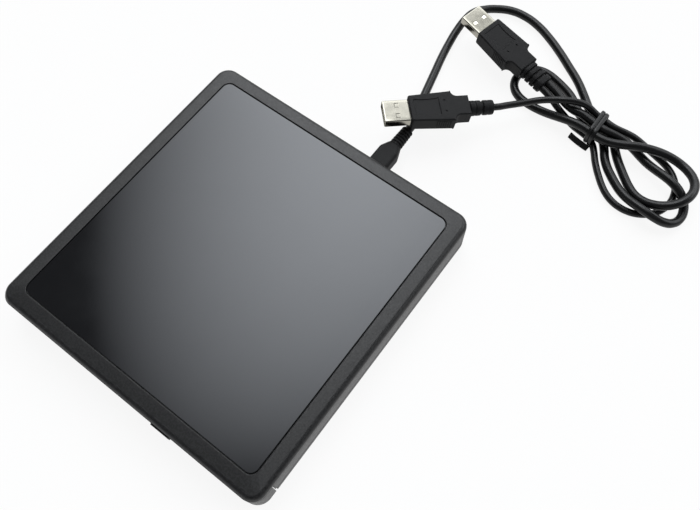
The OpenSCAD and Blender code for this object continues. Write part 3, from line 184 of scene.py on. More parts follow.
# Lanes through the tie, in its own axes, as (offset across, height, left end, right end)
LANE_LEAD = (5.5, 3.2, 0, 7)
LANE_FOLD = (0.3, 3.2, -7.5, 7)
LANE_POWER_IN = (5, 7.6, -1, 8)
LANE_POWER_OUT = (-4.6, 2.8, -6, 4)
LANE_OUTER = (-5.1, 7.9, -5, 7)
LANE_TAIL = (0, 8, -5, 5)
LANE_STEPS = 3
LOOP_RINGS = 24
LOOP_ARC_STEPS = 16
SMOOTH_PASSES = 2
# Loops as (centre, radius, turn, points out, points back, heights along the loop)
LOOP_BIG = ((128, 147.8), 14.4, 1, [(104, 149.8)], [(117, 158.6), (109, 154.8), (103, 151.2)],
            [(0.03, 2.4), (0.1, 2.2), (0.28, 2.4), (0.34, 5.4), (0.38, 6.8), (0.44, 9), (0.5, 10),
             (0.56, 9), (0.62, 6.6), (0.68, 5), (0.74, 6.2), (0.8, 8.4), (0.85, 9.6), (0.9, 9.6),
             (0.94, 8.8)])
LOOP_LEFT = ((52.6, 162), 11, -1, [(72, 150.6)], [(70, 168), (75.5, 163)],
             [(0.05, 7.4), (0.1, 6.4), (0.16, 4), (0.22, 2.4), (0.28, 2.2), (0.92, 2.2), (0.97, 2.8)])
LOOP_LOW = ((134.6, 138.2), 10, 1, [(99.8, 144.8), (112, 135.6), (120, 130.6)], [(118, 154), (108, 157.8)],
            [(0.04, 2.6), (0.1, 2.2), (0.26, 2.6), (0.31, 5.9), (0.37, 7), (0.41, 6.2), (0.48, 2.8),
             (0.52, 2.2), (0.57, 2.4), (0.61, 5.2), (0.64, 6.8), (0.71, 6.8), (0.77, 3.4), (0.84, 2.6),
             (0.875, 4), (0.905, 6.2), (0.94, 8.2)])
LOOP_POWER = ((119.4, 143.8), 17.4, -1, [(107, 163)], [(96.6, 142.6)],
              [(0.06, 6.6), (0.12, 3.2), (0.17, 1.8), (0.2, 1.7), (0.94, 1.7)])

# Camera: its place in millimetres, its own axes, and its lens, sensor and near limit in millimetres
CAMERA_AT = Vector((115.11, -62.43, 294.42))
CAMERA_RIGHT = Vector((0.79834, 0.60174, -0.02373))
CAMERA_DOWN = Vector((0.54493, -0.73863, -0.39683))
CAMERA_AHEAD = Vector((-0.25632, 0.30387, -0.91759))
LENS, SENSOR, NEAR = 36.39, 36, 10

# Studio light: a dim room with a pale back wall and skirt
ROOM_LEVEL = 0.2
WALL_LEVEL = 3.0
SKIRT_LEVEL = 0.9
DOME_COLOUR = (0.95, 0.975, 1.0, 1)
# The soft box at its brightest, and its middle, turn and spread on a dome of radius 1
BOX_LEVEL = 8.1
BOX_MIDDLE = (-0.332, 0.598, 0)
BOX_TURN = (0, 0, 0.078)
BOX_SPREAD = (0.1213, 0.2352, 1000)
# Fades on that dome as (axis, start, end, level at the start, level at the end)
FADES = {
    "box_back": ("Y", 0.58, 0.42, 0.0, 1.0),
    "wall_top": ("Z", 0.84, 0.7, 0.0, WALL_LEVEL),
    "wall_sides": ("Y", 0.2, 0.6, 0.0, 1.0),
    "low_end": ("Z", 0.3, 0.5, 0.0, 1.0),
    "skirt": ("Z", 0.3, 0.08, ROOM_LEVEL, SKIRT_LEVEL),
}
# The floor's own light, its half width in metres, and the hair in millimetres that it lies below the feet
FLOOR_GLOW = 0.9
FLOOR_REACH = 6.0
FLOOR_DROP = 0.02

# Points this near in metres are one, cuts this near in millimetres meet a point, heights this near are level,
# and a normal this upright is flat
MERGE, CUT, LEVEL, UPRIGHT = 1e-6, 1e-5, 1e-4, 0.99
# Angles below which faces are one, above which an edge is rounded, and above which it is shaded sharp
FLAT_ANGLE, EDGE_ANGLE, SHARP_ANGLE = math.radians(1), math.radians(30), math.radians(32)

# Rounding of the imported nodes' edges, in millimetres
SOFT_EDGE = 0.12
SOFT_EDGES = {
    "bottom_case": 0.2, "bezel": 0.2, "eject_button": 0.2, "rubber_feet": 0.4, "left_guide": 0.15,
    "right_guide": 0.15, "bridge_board": 0.06, "front_board": 0.06, "main_board": 0.06, "usb_socket": 0.08,
    "socket_tongue": 0.06, "link_connector": 0.15, "ribbon_cable": 0.04, "tray": 0.25, "tray_pan": 0.08,
    "led_lens": 0.1, "traverse_deck": 0.1, "deck_dampers": 0.15, "spindle_stator": 0.2,
    "main_guide_rod": 0.15, "sub_guide_rod": 0.15, "stepper_motor": 0.2, "latch_solenoid": 0.2,
    "eject_plunger": 0.15, "turntable": 0.2, "turntable_pad": 0.08, "pickup_sled": 0.2,
    "objective_lens": 0.05, "mini_plug_shell": 0.1, "clamp_balls": 0,
}
# Nodes that have a piece of their own
DRESSED = {
    "top_cover", "top_panel", "mini_plug_body", "data_plug_body", "power_plug_body", "data_plug_shell",
    "power_plug_shell", "plug_tongues", "cord_tie", "data_cord_lead", "data_cord_hank", "data_cord_tail",
    "power_cord_lead", "power_cord_loop", "power_cord_tail",
}


class DriveSizes(PropertyGroup):
    """Sizes of the dressed drive that a user would change"""

    edge_radius: FloatProperty(
        name="Edge radius", description="Radius of the cover's rounded top edge",
        default=2.4 * MM, min=0.5 * MM, max=3 * MM, unit="LENGTH")
    lip_radius: FloatProperty(
        name="Lip radius", description="Rounding of the cover's border beside the panel's seam",
        default=0.3 * MM, min=0.1 * MM, max=1 * MM, unit="LENGTH")
    panel_edge: FloatProperty(
        name="Panel edge", description="Rounding of the glossy panel's edge",
        default=0.2 * MM, min=0.1 * MM, max=0.5 * MM, unit="LENGTH")
    plug_edge: FloatProperty(
        name="Plug edge", description="Rounding of the moulded plugs",
        default=0.7 * MM, min=0.2 * MM, max=1 * MM, unit="LENGTH")
    data_cord: FloatProperty(
        name="Data cord", description="Diameter of the thick cord",
        default=4.2 * MM, min=3 * MM, max=4.3 * MM, unit="LENGTH")
    power_cord: FloatProperty(
        name="Power cord", description="Diameter of the thin cord",
        default=3.3 * MM, min=2.4 * MM, max=3.4 * MM, unit="LENGTH")


class DriveColours(PropertyGroup):
    """Colours of the drive's finishes"""

    case: FloatVectorProperty(
        name="Case", description="Satin moulded shells", subtype="COLOR", default=linear("#060607"))
    panel: FloatVectorProperty(
        name="Panel", description="Glossy panel on the top", subtype="COLOR", default=linear("#08080a"))
    plug: FloatVectorProperty(
        name="Plugs", description="Moulded plug bodies", subtype="COLOR", default=linear("#161617"))
    cord: FloatVectorProperty(
        name="Cords", description="Jackets of the two cords", subtype="COLOR", default=linear("#09090a"))
    shell: FloatVectorProperty(
        name="Plug shells", description="Plated shells of the plugs", subtype="COLOR",
        default=linear("#a9a69c"))
    floor: FloatVectorProperty(
        name="Floor", description="Studio floor", subtype="COLOR", default=linear("#f7f7f7"))


def add_node(tree, kind, inputs=None, **settings):
    """A node with its settings, its values and its links."""
    node = tree.nodes.new(kind)
    for key, value in settings.items():
        setattr(node, key, value)
    for key, value in (inputs or {}).items():
        if isinstance(value, bpy.types.NodeSocket):
            tree.links.new(value, node.inputs[key])
        else:
            node.inputs[key].default_value = value
    return node


def new_tree(name):
    """An empty material and its node tree."""
    material = bpy.data.materials.new(name)
    material.use_nodes = True
    material.node_tree.nodes.clear()
    return material, material.node_tree


def surface(name, colour, shade, roughness, grain, depth, patch=14, stretch=(1, 1, 1), pattern=None,
            **sockets):
    """A finish with grain and broad patches of these sizes in millimetres.

    The grain makes the relief, depth deep, and varies the roughness between two values. The patches, or a
    pattern of its own, vary the colour between colour and shade.
    """
    material, tree = new_tree(name)
    place = add_node(tree, "ShaderNodeTexCoord")
    spread = add_node(tree, "ShaderNodeMapping", {"Vector": place.outputs["Object"], "Scale": stretch})
    fine = add_node(tree, "ShaderNodeTexNoise", {
        "Vector": spread.outputs["Vector"], "Scale": 1 / (grain * MM), "Detail": 3.0, "Roughness": 0.55})
    if pattern:
        factor = pattern(tree, place)
    else:
        factor = add_node(tree, "ShaderNodeTexNoise", {
            "Vector": spread.outputs["Vector"], "Scale": 1 / (patch * MM), "Detail": 2.0}).outputs["Fac"]
    tint = add_node(tree, "ShaderNodeMix", {0: factor, 6: (*colour, 1), 7: (*shade, 1)}, data_type="RGBA")
    rough = add_node(tree, "ShaderNodeMapRange", {
        "Value": fine.outputs["Fac"], "From Min": 0.3, "From Max": 0.7,
        "To Min": roughness[0], "To Max": roughness[1]})
    relief = add_node(tree, "ShaderNodeBump", {
        "Strength": 0.6, "Distance": depth * MM, "Height": fine.outputs["Fac"]})
    shader = add_node(tree, "ShaderNodeBsdfPrincipled", {
        "Base Color": tint.outputs[2], "Roughness": rough.outputs["Result"],
        "Normal": relief.outputs["Normal"], **sockets})
    add_node(tree, "ShaderNodeOutputMaterial", {"Surface": shader.outputs["BSDF"]})
    return material


def moulded_grain(tree, place):
    """Grain of a spark-eroded tool, drawn 0.8 mm wide so that it shows."""
    grain = add_node(tree, "ShaderNodeTexNoise", {
        "Vector": place.outputs["Object"], "Scale": 1 / (0.8 * MM), "Detail": 2.0})
    return add_node(tree, "ShaderNodeMapRange", {
        "Value": grain.outputs["Fac"], "From Min": 0.38, "From Max": 0.62}).outputs["Result"]


def copper_tracks(tree, place):
    """Copper runs under the solder mask, about 1.2 mm apart, with bends."""
    runs = add_node(tree, "ShaderNodeTexBrick", {
        "Vector": place.outputs["Object"], "Scale": 1.0, "Color1": (0, 0, 0, 1),
        "Color2": (0.15, 0.15, 0.15, 1), "Mortar": (1, 1, 1, 1), "Mortar Size": 0.22 * MM,
        "Brick Width": 5 * MM, "Row Height": 1.2 * MM})
    return runs.outputs["Color"]


# A wave texture of scale 1 repeats at this step
WAVE_STEP = 0.314


def wound_wire_highlights(tree, place):
    """Turns of enamelled wire with a painted highlight along each, drawn 0.5 mm apart so that they show."""
    turns = add_node(tree, "ShaderNodeTexWave", {
        "Vector": place.outputs["Object"], "Scale": WAVE_STEP / (0.5 * MM), "Distortion": 0.4},
        bands_direction="Z", wave_profile="SIN")
    return turns.outputs["Fac"]


def ribbon_lines(tree, place):
    """Copper lines of the flat cable, 1 mm apart across X."""
    lines = add_node(tree, "ShaderNodeTexWave", {
        "Vector": place.outputs["Object"], "Scale": WAVE_STEP / (1 * MM)}, bands_direction="X")
    return lines.outputs["Fac"]


def make_finishes(colours):
    """Every finish, by the record's slot."""
    return {
        # Black ABS moulded in a spark-eroded tool: a dull satin with an even speckle
        "case_plastic": surface("Moulded ABS, satin", tuple(colours.case), linear("#1e1e1f"), (0.36, 0.5),
                                0.7, 0.02, pattern=moulded_grain, IOR=1.53, **{"Specular IOR Level": 0.42}),
        # Black acrylic, polished and backed: near black with a mirror-like, slightly wavy and cool sheen
        "panel_gloss": surface("Polished acrylic, black", tuple(colours.panel), linear("#0a0a0c"),
                               (0.07, 0.11), 18, 0.0006, patch=60, IOR=1.49,
                               **{"Specular Tint": (0.94, 0.96, 1.0, 1)}),
        # The tray's ABS comes from a smoother tool than the case, so it is a little shinier
        "tray_plastic": surface("Moulded ABS, tray", linear("#19191b"), linear("#1f1f21"), (0.3, 0.42),
                                0.6, 0.006, IOR=1.53),
        # Moulded nitrile rubber: matt, slightly dusty
        "rubber": surface("Nitrile rubber, moulded", linear("#232324"), linear("#2e2e2f"), (0.7, 0.85),
                          0.7, 0.02, patch=5, IOR=1.52),
        # Zinc-plated sheet: a soft grey metal with rolling streaks along the drive
        "steel": surface("Zinc-plated steel, rolled", linear("#b3b6b9"), linear("#c6c8ca"), (0.28, 0.42),
                         1.2, 0.002, patch=20, stretch=(6, 0.4, 6), Metallic=1.0),
        # Nickel plate on drawn strip: bright, slightly warm, with fine drawing marks
        "plug_steel": surface("Nickel plate, drawn", tuple(colours.shell), linear("#a29f94"), (0.14, 0.2),
                              3, 0.0004, patch=6, Metallic=1.0),
        # Die-cast zinc, tumbled: dark dull grey with a pebbled skin
        "pickup_metal": surface("Die-cast zinc, tumbled", linear("#6f7276"), linear("#85888c"), (0.42, 0.6),
                                0.5, 0.02, patch=6, Metallic=1.0),
        # Enamelled copper in turns: brown red, with a painted highlight along each turn
        "motor": surface("Enamelled copper, wound", linear("#6e3d1c"), linear("#a8683a"), (0.3, 0.4),
                         0.4, 0.004, pattern=wound_wire_highlights, Metallic=0.8),
        # Green solder mask over copper: glossy, with paler lines where the copper lies
        "board": surface("Solder mask on glass epoxy", linear("#17482f"), linear("#2c6f49"), (0.22, 0.34),
                         0.5, 0.004, pattern=copper_tracks, IOR=1.55),
        # Moulded epoxy of the chips: flat black grey with a fine speckle
        "chip": surface("Moulded epoxy", linear("#1b1b1d"), linear("#27272a"), (0.5, 0.65),
                        0.25, 0.006, patch=1.5, IOR=1.55),
        # Natural nylon: milky, with a soft waxy shine
        "nylon": surface("Natural nylon, moulded", linear("#e2ded2"), linear("#d4cfc0"), (0.38, 0.52),
                         0.8, 0.006, patch=8, IOR=1.53),
        # Polyimide film over copper lines: amber and glossy
        "ribbon": surface("Polyimide film", linear("#8f5a1c"), linear("#c58a3c"), (0.18, 0.28),
                          2, 0.002, pattern=ribbon_lines, IOR=1.6),
        # Clear polycarbonate: a pale green light pipe with a polished end
        "light_pipe": surface("Clear polycarbonate", linear("#d6ead9"), linear("#e6f3e8"), (0.08, 0.16),
                              1, 0.001, IOR=1.58, **{"Transmission Weight": 0.6}),
        # Coated glass: clear with a blue sheen
        "lens_glass": surface("Coated optical glass", linear("#b9c9e6"), linear("#c9d4ee"), (0.02, 0.04),
                              1, 0.0002, IOR=1.6, **{"Transmission Weight": 0.9, "Coat Weight": 0.5}),
        # Soft vinyl shot round the cord's end: dark grey with a silky fine grain
        "plug_vinyl": surface("Soft vinyl, moulded", tuple(colours.plug), linear("#1b1b1c"), (0.5, 0.64),
                              0.4, 0.004, patch=5, IOR=1.53, **{"Specular IOR Level": 0.16}),
        # Extruded vinyl jacket: black, with a soft line of light along it
        "cord_vinyl": surface("Vinyl jacket, extruded", tuple(colours.cord), linear("#0d0d0e"), (0.28, 0.38),
                              1.5, 0.003, patch=12, IOR=1.53, **{"Specular IOR Level": 0.3}),
    }


# The finishes by slot, once they are mixed
FINISH = {}


def add_piece(name, bm, slot, body, replaces=(), unit=MM):
    """Makes an object of a bmesh drawn in this unit, gives it its finish and seats it on its body."""
    bmesh.ops.scale(bm, vec=(unit, unit, unit), verts=bm.verts[:])
    mesh = bpy.data.meshes.new(name)
    bm.to_mesh(mesh)
    bm.free()
    mesh.shade_smooth()
    mesh.set_sharp_from_angle(angle=SHARP_ANGLE)
    mesh.materials.append(FINISH[slot])
    piece = bpy.data.objects.new(name, mesh)
    bpy.context.scene.collection.objects.link(piece)
    # Large faces keep a flat shade beside their small roundings
    piece.modifiers.new("Weighted normals", "WEIGHTED_NORMAL").keep_sharp = True
    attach(piece, body)
    if replaces:
        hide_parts(*replaces)


def round_off(bm, geom, radius, steps, affect="EDGES"):
    """Rounds edges or corners, and gives the new points."""
    return bmesh.ops.bevel(bm, geom=geom, offset=radius, offset_type="OFFSET", segments=steps, profile=0.5,
                           affect=affect, material=-1)["verts"]


def ring(bm, width, depth, radius, steps):
    """A flat face on XY with four round corners."""
    corners = bmesh.ops.create_grid(bm, x_segments=1, y_segments=1, size=0.5)["verts"]
    bmesh.ops.scale(bm, vec=(width, depth, 1), verts=corners)
    # Just under half, so that neighbouring corners stay apart
    most = 0.499 * min(width, depth)
    made = round_off(bm, corners, min(radius, most), steps, affect="VERTICES")
    return made[0].link_faces[0]


def loft(bm, sections, steps=6, closed=False, place=None):
    """Bridges round-cornered rings along Z.

    A section is (z, width, depth, corner radius) and, if it is off the axis, its shift along X and Y.
    """
    before = set(bm.verts)
    loops = []
    for index, (z, width, depth, radius, *shift) in enumerate(sections):
        face = ring(bm, width, depth, radius, steps)
        across = shift or (0, 0)
        bmesh.ops.translate(bm, vec=(across[0], across[1], z), verts=face.verts[:])
        loops.append(face.edges[:])
        if closed or 0 < index < len(sections) - 1:
            bmesh.ops.delete(bm, geom=[face], context="FACES_ONLY")
    pairs = list(zip(loops, loops[1:])) + ([(loops[-1], loops[0])] if closed else [])
    for lower, upper in pairs:
        bmesh.ops.bridge_loops(bm, edges=lower + upper)
    verts = [v for v in bm.verts if v not in before]
    faces = list({f for v in verts for f in v.link_faces})
    bmesh.ops.recalc_face_normals(bm, faces=faces)
    if place is not None:
        bmesh.ops.transform(bm, matrix=place, verts=verts)


def fillet(radius, z, outwards, steps=5):
    """(inset, height) pairs of a quarter round that ends at height z, falling outwards or inwards."""
    turns = [math.radians(90 * i / steps) for i in range(steps + 1)]
    pairs = [(radius * (1 - math.cos(a)), z - radius * (1 - math.sin(a))) for a in turns]
    return pairs if outwards else pairs[::-1]


def box(bm, low, high, edge, place=None):
    """A block between two corners with rounded edges."""
    size = [h - l for l, h in zip(low, high)]
    middle = [(h + l) / 2 for l, h in zip(low, high)]
    verts = bmesh.ops.create_cube(bm, size=1)["verts"]
    bmesh.ops.scale(bm, vec=size, verts=verts)
    bmesh.ops.translate(bm, vec=middle, verts=verts)
    edges = list({e for v in verts for e in v.link_edges})
    made = round_off(bm, edges, edge, steps=2)
    if place is not None:
        bmesh.ops.transform(bm, matrix=place, verts=made)


def mean_route(points, passes):
    """Evens out a route with its ends kept."""
    for _ in range(passes):
        inner = [(a + 2 * b + c) / 4 for a, b, c in zip(points, points[1:], points[2:])]
        points = [points[0], *inner, points[-1]]
    return points


def lane_end(lane, side, stub=0):
    """One end of a lane through the tie, or a point a stub further out."""
    along = lane[3] + stub if side > 0 else lane[2] - stub
    return TIE @ Vector((along, lane[0], lane[1]))


def lane_run(lane, side):
    """The points of a lane, towards side."""
    start, end = lane_end(lane, -side), lane_end(lane, side)
    return [start.lerp(end, i / LANE_STEPS) for i in range(LANE_STEPS + 1)]


def touch_angle(point, centre, radius, side):
    """Where a straight run from a point meets a circle, in radians."""
    away = Vector(point) - Vector(centre)
    return math.atan2(away.y, away.x) + side * math.acos(radius / away.length)


def height_at(share, table):
    """Height along a loop, straight between the rows of its table."""
    for (a, low), (b, high) in zip(table, table[1:]):
        if share <= b:
            return low + (high - low) * (share - a) / (b - a)
    return table[-1][1]


def loop_points(start, end, spec):
    """A loop of the hank between two lane ends, in even steps and without those ends."""
    centre, radius, turn, out, back, heights = spec
    first = touch_angle(out[-1], centre, radius, turn)
    sweep = ((touch_angle(back[0], centre, radius, -turn) - first) * turn) % math.tau * turn
    arc = [Vector(centre) + radius * Vector((math.cos(a), math.sin(a)))
           for a in (first + sweep * i / LOOP_ARC_STEPS for i in range(LOOP_ARC_STEPS + 1))]
    flat = [start.xy, *map(Vector, out), *arc, *map(Vector, back), end.xy]
    reach = [0.0]
    for a, b in zip(flat, flat[1:]):
        reach.append(reach[-1] + (b - a).length)
    table = [(0, start.z), *heights, (1, end.z)]
    points = []
    for i in range(LOOP_RINGS):
        share = (i + 1) / (LOOP_RINGS + 1)
        walked = share * reach[-1]
        leg = max(k for k in range(len(flat) - 1) if reach[k] <= walked)
        spot = flat[leg].lerp(flat[leg + 1], (walked - reach[leg]) / (reach[leg + 1] - reach[leg]))
        points.append(Vector((*spot, height_at(share, table))))
    return points


def data_route():
    """The thick cord from the small plug through the hank to the data plug."""
    lead = [Vector((MINI_PLUG[0], MINI_EXIT + step, MINI_PLUG[2])) for step in (-MINI_SINK, DATA_STUB)]
    lead += [*map(Vector, DATA_LEAD), lane_end(LANE_LEAD, -1, DATA_STUB)]
    hank = mean_route(
        lane_run(LANE_LEAD, 1)
        + loop_points(lane_end(LANE_LEAD, 1), lane_end(LANE_OUTER, 1), LOOP_BIG)
        + lane_run(LANE_OUTER, -1)
        + loop_points(lane_end(LANE_OUTER, -1), lane_end(LANE_FOLD, -1), LOOP_LEFT)
        + lane_run(LANE_FOLD, 1)
        + loop_points(lane_end(LANE_FOLD, 1), lane_end(LANE_TAIL, 1), LOOP_LOW)
        + lane_run(LANE_TAIL, -1), SMOOTH_PASSES)
    tail = [lane_end(LANE_TAIL, -1, DATA_STUB), *map(Vector, DATA_TAIL)]
    tail += [DATA_PLUG @ Vector((PLUG_END + step, DATA_EXIT_Y, 0)) for step in (DATA_STUB, -PLUG_SINK)]
    return lead + hank + tail


def power_route():
    """The thin cord from the power plug through the hank to the data plug."""
    lead = [POWER_PLUG @ Vector((PLUG_END + step, 0, 0)) for step in (-PLUG_SINK, POWER_STUB)]
    lead += [*map(Vector, POWER_LEAD), lane_end(LANE_POWER_IN, -1, POWER_STUB)]
    hank = mean_route(
        lane_run(LANE_POWER_IN, 1)
        + loop_points(lane_end(LANE_POWER_IN, 1), lane_end(LANE_POWER_OUT, 1), LOOP_POWER)
        + lane_run(LANE_POWER_OUT, -1), SMOOTH_PASSES)
    tail = [lane_end(LANE_POWER_OUT, -1, POWER_STUB), *map(Vector, POWER_TAIL)]
    tail += [DATA_PLUG @ Vector((PLUG_END + step, POWER_EXIT_Y, 0)) for step in (POWER_STUB, -PLUG_SINK)]
    return lead + hank + tail


def add_cord(name, points, diameter, nodes):
    """A round jacket along one open spline."""
    curve = bpy.data.curves.new(name, "CURVE")
    curve.dimensions = "3D"
    curve.bevel_depth = diameter / 2
    curve.bevel_resolution = 5
    curve.resolution_u = 4
    curve.use_fill_caps = True
    spline = curve.splines.new("BEZIER")
    spline.bezier_points.add(len(points) - 1)
    for knot, point in zip(spline.bezier_points, points):
        knot.co = point * MM
        knot.handle_left_type = knot.handle_right_type = "AUTO"
    curve.materials.append(FINISH["cord_vinyl"])
    cord = bpy.data.objects.new(name, curve)
    bpy.context.scene.collection.objects.link(cord)
    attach(cord, "cable")
    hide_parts(*nodes)
    return cord


class DRIVE_OT_finishes(Operator):
    """Mix the finishes and give every node its own"""

    bl_idname = "drive.finishes"
    bl_label = "Finishes"

    def execute(self, context):
        FINISH.update(make_finishes(context.scene.drive_colours))
        for name, node in frame["nodes"].items():
            node.data.materials.clear()
            node.data.materials.append(FINISH[NODE_SLOT[name]])
        return {"FINISHED"}


class DRIVE_OT_stage(Operator):
    """Set the camera, the studio dome and the floor"""

    bl_idname = "drive.stage"
    bl_label = "Studio"

    def execute(self, context):
        scene = context.scene
        scene.view_settings.view_transform = "Standard"
        lens = bpy.data.cameras.new("Camera")
        lens.lens = LENS
        lens.sensor_width = SENSOR
        lens.sensor_fit = "HORIZONTAL"
        lens.clip_start = NEAR * MM
        camera = bpy.data.objects.new("Camera", lens)
        turn = Matrix((CAMERA_RIGHT, -CAMERA_DOWN, -CAMERA_AHEAD)).transposed().to_4x4()
        camera.matrix_world = Matrix.Translation(CAMERA_AT * MM) @ turn
        scene.collection.objects.link(camera)
        scene.camera = camera
        self.add_dome(scene)
        self.add_floor(scene)
        return {"FINISHED"}

    def add_dome(self, scene):
        """A dim studio with one soft box overhead, brighter towards the back, and a pale wall behind."""
        world = bpy.data.worlds.new("Studio")
        world.use_nodes = True
        tree = world.node_tree
        tree.nodes.clear()
        place = add_node(tree, "ShaderNodeTexCoord")
        parts = add_node(tree, "ShaderNodeSeparateXYZ", {"Vector": place.outputs["Generated"]})
        fades = {}
        for use, (axis, start, end, low, high) in FADES.items():
            fades[use] = add_node(tree, "ShaderNodeMapRange", {
                "Value": parts.outputs[axis], "From Min": start, "From Max": end, "To Min": low,
                "To Max": high}, interpolation_type="SMOOTHSTEP").outputs["Result"]
        # The soft box fades in a curve from its middle, soonest across X, and shortly at the back
        far = add_node(tree, "ShaderNodeMapping", {
            "Vector": place.outputs["Generated"], "Location": BOX_MIDDLE, "Rotation": BOX_TURN,
            "Scale": BOX_SPREAD}, vector_type="TEXTURE")
        fall = add_node(tree, "ShaderNodeVectorMath", {0: far.outputs["Vector"], 1: far.outputs["Vector"]},
                        operation="DOT_PRODUCT")
        light = add_node(tree, "ShaderNodeMath", {0: BOX_LEVEL, 1: fall.outputs["Value"]},
                         operation="SUBTRACT").outputs["Value"]
        light = add_node(tree, "ShaderNodeMath", {0: light, 1: 0.0}, operation="MAXIMUM").outputs["Value"]
        light = add_node(tree, "ShaderNodeMath", {0: light, 1: fades["box_back"]},
                         operation="MULTIPLY").outputs["Value"]
        light = add_node(tree, "ShaderNodeMath", {0: fades["wall_top"], 1: fades["wall_sides"], 2: light},
                         operation="MULTIPLY_ADD").outputs["Value"]
        # Both end above the room's low part, so that flat gloss stays dark when it is seen at a low angle
        level = add_node(tree, "ShaderNodeMath", {0: light, 1: fades["low_end"], 2: fades["skirt"]},
                         operation="MULTIPLY_ADD")
        shade = add_node(tree, "ShaderNodeBackground", {
            "Color": DOME_COLOUR, "Strength": level.outputs["Value"]})
        add_node(tree, "ShaderNodeOutputWorld", {"Surface": shade.outputs["Background"]})
        scene.world = world

    def add_floor(self, scene):
        """A wide white floor that takes the shadows."""
        bm = bmesh.new()
        bmesh.ops.create_grid(bm, x_segments=1, y_segments=1, size=FLOOR_REACH)
        bmesh.ops.translate(bm, vec=(0, 0, -FLOOR_DROP * MM), verts=bm.verts[:])
        mesh = bpy.data.meshes.new("Floor")
        bm.to_mesh(mesh)
        bm.free()
        # Matt paper sweep: white, with no shine, and faint shadows, because it glows where it is looked at
        material, tree = new_tree("White paper sweep")
        paper = add_node(tree, "ShaderNodeBsdfDiffuse", {"Color": (*scene.drive_colours.floor, 1)})
        glow = add_node(tree, "ShaderNodeEmission", {"Color": (1, 1, 1, 1), "Strength": 1.0})
        path = add_node(tree, "ShaderNodeLightPath")
        seen = path.outputs["Is Camera Ray"]
        for kind in ("Is Glossy Ray", "Is Transmission Ray"):
            seen = add_node(tree, "ShaderNodeMath", {0: seen, 1: path.outputs[kind]},
                            operation="MAXIMUM").outputs["Value"]
        share = add_node(tree, "ShaderNodeMath", {0: seen, 1: FLOOR_GLOW}, operation="MULTIPLY")
        shader = add_node(tree, "ShaderNodeMixShader", {
            0: share.outputs["Value"], 1: paper.outputs["BSDF"], 2: glow.outputs["Emission"]})
        add_node(tree, "ShaderNodeOutputMaterial", {"Surface": shader.outputs["Shader"]})
        mesh.materials.append(material)
        floor = bpy.data.objects.new("Floor", mesh)
        scene.collection.objects.link(floor)


class DRIVE_OT_cover(Operator):
    """Make the top cover with its rounded edge, the glossy panel and the case's two lips"""

    bl_idname = "drive.cover"
    bl_label = "Cover and panel"

    def execute(self, context):
        sizes = context.scene.drive_sizes
        edge, lip, trim = sizes.edge_radius / MM, sizes.lip_radius / MM, sizes.panel_edge / MM
        inside = (CASE_W - 2 * WALL, CASE_D - 2 * WALL, CORNER_R - WALL)
        rows = [(SKIN_Z, *inside), (SPLIT_Z, *inside)]
        foot = ((COVER_RIM, SPLIT_Z), (0, SPLIT_Z + COVER_RIM))
        for inset, z in (*foot, *fillet(edge, CASE_H, True, steps=7)):
            rows.append((z, CASE_W - 2 * inset, CASE_D - 2 * inset, CORNER_R - inset))
        for inset, z in fillet(lip, CASE_H, False):
            out = SEAM + inset
            rows.append((z, PANEL_W + 2 * out, PANEL_D + 2 * out, PANEL_R + out, 0, PANEL_Y))
        rows.append((PANEL_Z, PANEL_W + 2 * SEAM, PANEL_D + 2 * SEAM, PANEL_R + SEAM, 0, PANEL_Y))
        bm = bmesh.new()
        loft(bm, rows, steps=10)
        # The border falls from the seam's front to the front edge
        start = PANEL_LO.y - SEAM - lip
        front = [v for v in bm.verts if v.co.y < start - LEVEL and v.co.z > SKIN_Z + LEVEL]
        slope = Matrix(((1, 0, 0, 0), (0, 1, 0, 0), (0, FRONT_FALL, 1, -FRONT_FALL * start), (0, 0, 0, 1)))
        bmesh.ops.transform(bm, matrix=slope, verts=front)
        add_piece("cover_shell", bm, "case_plastic", "case", ["top_cover"])
        rows = [(PANEL_Z, PANEL_W, PANEL_D, PANEL_R)]
        rows += [(z, PANEL_W - 2 * inset, PANEL_D - 2 * inset, PANEL_R - inset)
                 for inset, z in fillet(trim, CASE_H, True, steps=4)]
        bm = bmesh.new()
        loft(bm, rows, steps=10, place=Matrix.Translation((0, PANEL_Y, 0)))
        add_piece("gloss_panel", bm, "panel_gloss", "case", ["top_panel"])
        self.add_lips()
        return {"FINISHED"}

    def add_lips(self):
        """The two thin lips of the case that close the gap behind the bezel's wrapped ends."""
        bm = bmesh.new()
        back = BEZEL_HI.y
        for side in (-1, 1):
            near, far = sorted(side * (CASE_W / 2 - inset) for inset in CASE_LIP_X)
            box(bm, (near, back + CASE_LIP_Y[0], BEZEL_LO.z), (far, back + CASE_LIP_Y[1], BEZEL_HI.z),
                CASE_LIP_EDGE)
        add_piece("case_lips", bm, "case_plastic", "case")


class DRIVE_OT_edges(Operator):
    """Round the edges of every node that has no piece of its own"""

    bl_idname = "drive.edges"
    bl_label = "Rounded edges"

    def execute(self, context):
        for name, node in frame["nodes"].items():
            if name not in DRESSED:
                self.soften(name, node, SOFT_EDGES.get(name, SOFT_EDGE) * MM)
        return {"FINISHED"}

    def soften(self, name, node, width):
        """A copy of the node's mesh with its outer edges rounded."""
        bm = bmesh.new()
        bm.from_mesh(node.data)
        bmesh.ops.remove_doubles(bm, verts=bm.verts[:], dist=MERGE)
        bmesh.ops.dissolve_limit(bm, angle_limit=FLAT_ANGLE, verts=bm.verts[:], edges=bm.edges[:],
                                 use_dissolve_boundaries=False)
        edges = [e for e in bm.edges
                 if e.is_convex and len(e.link_faces) == 2 and e.calc_face_angle() > EDGE_ANGLE]
        if width and edges:
            round_off(bm, edges, width, steps=2)
        add_piece(f"{name}_soft", bm, NODE_SLOT[name], NODE_BODY[name], [name], unit=1)


